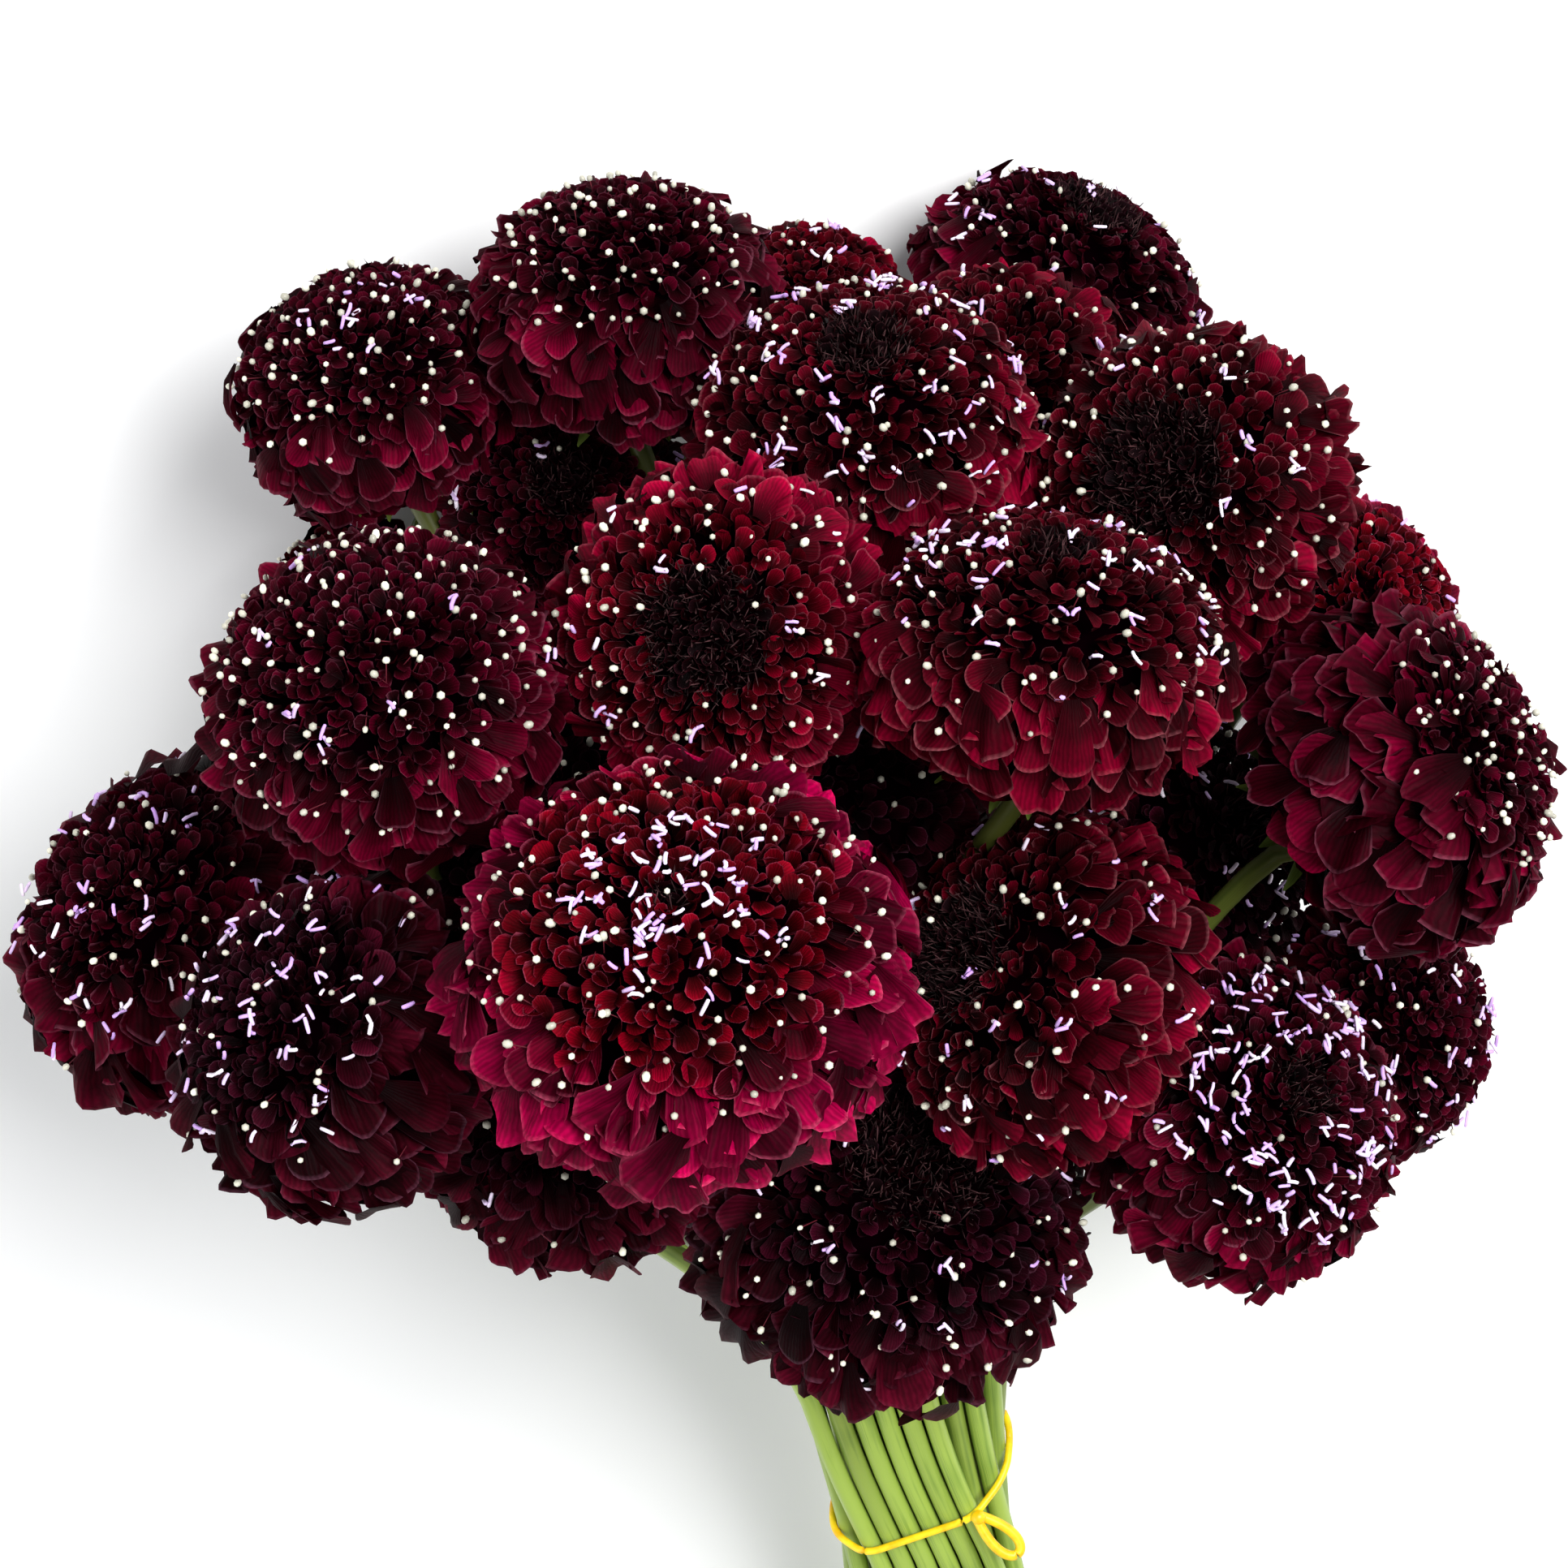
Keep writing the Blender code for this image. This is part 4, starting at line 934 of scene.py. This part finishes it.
def round_bundle(share, along, clear):
    """The place of a taut thread this share of the way round the stems.

    It leans on the outermost stem in each direction and runs straight between them. Also how
    far right and up of the bundle's middle the place is.
    """
    middle, side, upper = bundle(along)
    spread = 1.0 - 0.3 * along / STEM_BELOW_TIE if along < 0 else 1.0 + 0.06 * (along / 60.0) ** 2
    stems = np.array([(PITCH * (i - (stems - 1) / 2), PITCH * (row - (len(STEM_ROWS) - 1) / 2))
                      for row, stems in enumerate(STEM_ROWS) for i in range(stems)])
    stems[:, 0] -= 1.25 * stems[:, 1] * math.tanh(along / 40.0)
    angle = np.linspace(0.0, math.tau, 181)
    out = np.stack([np.cos(angle), np.sin(angle)], 1)
    thread = spread * stems[(stems @ out.T).argmax(0)] + (STEM_RADIUS + THREAD_CLEAR + clear) * out
    way = np.concatenate([[0.0], np.cumsum(np.linalg.norm(np.diff(thread, axis=0), axis=1))])
    right, up = [np.interp(share % 1.0 * way[-1], way, thread[:, k]) for k in range(2)]
    return middle + right * side + up * upper, right, up


# %% The ring's route
RING_RADIUS, RING_ALONG, RING_POINTS = 0.8, 10.0, 120  # mm, mm from the tie, and how many
SLANT_RIGHT, SLANT_UP = 0.30, -0.40  # how far the ring runs along the stems for each mm right and up
THREAD_RADIUS = 0.7  # the solid model's, from which the slant and the knot are worked out


def slant(share):
    """How far along the bundle the flat, slanting ring lies at this share of the way round."""
    along = RING_ALONG
    for _ in range(3):
        _, right, up = round_bundle(share, along, THREAD_RADIUS)
        along = RING_ALONG + SLANT_RIGHT * right + SLANT_UP * up
    return along


shares = np.linspace(0, 1, RING_POINTS, endpoint=False)
ring = np.array([round_bundle(share, slant(share), RING_RADIUS)[0] for share in shares])
ring = np.mean([np.roll(ring, step, axis=0) for step in range(-3, 4)], axis=0)
ring_length = np.linalg.norm(np.diff(ring, axis=0, append=ring[:1]), axis=1).sum()
ring = np.concatenate([ring, ring[:3]])  # so that its two pointed ends lie inside each other
print("elastic: ring of", round(float(ring_length)), "mm")

# %% [markdown]
# ## Yellow rubber
# The elastic is soft yellow rubber, pulled thin, with a dull shine and slightly uneven colour
# from the stretch. A noise of a few millimetres gives that.

# %% The rubber
STRETCH_MARKS = 3 * MM
yellow_rubber, shader = new_material("yellow_rubber")
place = add_node(yellow_rubber, "TexCoord")
stretch = add_node(yellow_rubber, "TexNoise",
                   {"Vector": place.outputs["Object"], "Scale": 1 / STRETCH_MARKS, "Detail": 2.0})
yellow = two_colours(yellow_rubber, stretch.outputs["Fac"], 0.3, 0.7, "#f2b600", "#ffe21f")
fill(yellow_rubber, shader, {"Base Color": yellow, "Roughness": 0.4})

# %% Ring, loop and knot
KNOT_ROUND, KNOT_RADIUS, KNOT_LIFT = 0.15, 1.6, 1.0  # share of the way round, mm, mm outward
LOOP_RADIUS, LOOP_LENGTH, LOOP_LIFT, LOOP_WIDTH, LOOP_LEAN = 1.1, 9.8, 8.0, 3.0, math.radians(24)
knot_along = slant(KNOT_ROUND)
start = round_bundle(KNOT_ROUND, knot_along, THREAD_RADIUS)[0]
outward = unit(round_bundle(KNOT_ROUND, knot_along, THREAD_RADIUS + 1.0)[0] - start)
middle, side, _ = bundle(knot_along)
ahead = unit(np.cross(side, outward))
ahead *= np.sign(ahead @ (middle - bundle(knot_along + 1.0)[0]))
rightward = unit(side - (side @ outward) * outward)
loop_way = math.cos(LOOP_LEAN) * ahead + math.sin(LOOP_LEAN) * rightward

# A teardrop: forward sin(t / 2)^2, sideways sin(t) * sin(t / 2), for t once round.
turn = np.linspace(0.0, math.tau, 49)[:, None]
loop = (start + np.sin(turn / 2) ** 2 * (LOOP_LENGTH * loop_way + LOOP_LIFT * outward)
        + LOOP_WIDTH * np.sin(turn) * np.sin(turn / 2) * np.cross(loop_way, outward))
angle = np.linspace(0, math.pi, 9)
knot = start + KNOT_LIFT * outward - KNOT_RADIUS * np.cos(angle)[:, None] * rightward
white = np.ones(3)
tie = [rods(ring[None], np.full((1, len(ring)), RING_RADIUS), 10, white, yellow_rubber),
       rods(loop[None], np.full((1, len(loop)), LOOP_RADIUS), 10, white, yellow_rubber),
       rods(knot[None], KNOT_RADIUS * np.sin(angle)[None], 12, white, yellow_rubber)]
make_piece("elastic_cord", tie, ["elastic_tie"])
print("elastic: loop of", round(float(np.linalg.norm(np.diff(loop, axis=0), axis=1).sum())), "mm")

# %% [markdown]
# ## Table, light and camera
# The bunch lies on a pale matt table under a large soft light. The camera looks down on the
# front, tilted towards the heads, at the distance and lens that give the photograph's frame.

# %% Stage
pale_table, shader = new_material("pale_table")
fill(pale_table, shader, {"Base Color": (*linear("#fafafa"), 1.0), "Roughness": 0.9})
TABLE_HALF = 4.0  # metres
floor_mesh = bpy.data.meshes.new("table_top")
corners = [(x * TABLE_HALF, y * TABLE_HALF, 0) for x, y in ((-1, -1), (1, -1), (1, 1), (-1, 1))]
floor_mesh.from_pydata(corners, [], [(0, 1, 2, 3)])
floor_mesh.materials.append(pale_table)
table = add_object("table_top", floor_mesh)
print("table:", 2 * TABLE_HALF, "m wide")

# %% Camera
CAMERA_AWAY = 0.9
PHOTO_SIDE, PIXEL = 1932, 0.142 * MM  # the photo's side in pixels, and a pixel's size at the bunch
toward, upward = Vector(to_floor((0, 0, 1))), Vector(to_floor((0, 1, 0)))
looked_at = Vector(VIEW_MIDDLE) * MM
camera = bpy.data.cameras.new("camera")
camera.sensor_width = 36.0
camera.lens = camera.sensor_width * CAMERA_AWAY / (PHOTO_SIDE * PIXEL)
camera.clip_start = 0.05
camera_object = add_object("camera", camera)
camera_object.matrix_world = Matrix.Translation(looked_at + CAMERA_AWAY * toward) @ Matrix(
    (Vector((1, 0, 0)), upward, toward)).transposed().to_4x4()
bpy.context.scene.camera = camera_object
print("camera lens:", round(camera.lens, 1), "mm")

# %% Lights


def add_area(name, place, size, power):
    """A square area light at a place in metres that faces the bunch, its power in watts."""
    light = bpy.data.lights.new(name, "AREA")
    light.size, light.energy = size, power
    made = add_object(name, light)
    made.location = place
    made.rotation_euler = (Vector(place) - looked_at).to_track_quat("Z", "Y").to_euler()


add_area("key_light", (0.6, 0.9, 1.5), 0.8, 40)
add_area("fill_light", (-1.3, -0.5, 1.1), 1.4, 14)
world = bpy.data.worlds.new("studio")
world.use_nodes = True
fill(world, world.node_tree.nodes["Background"], {"Color": (*linear("#f3f5f8"), 1.0), "Strength": 0.5})
bpy.context.scene.world = world
bpy.context.scene.view_settings.view_transform = "Standard"
print("lights: key_light and fill_light, and a pale sky")
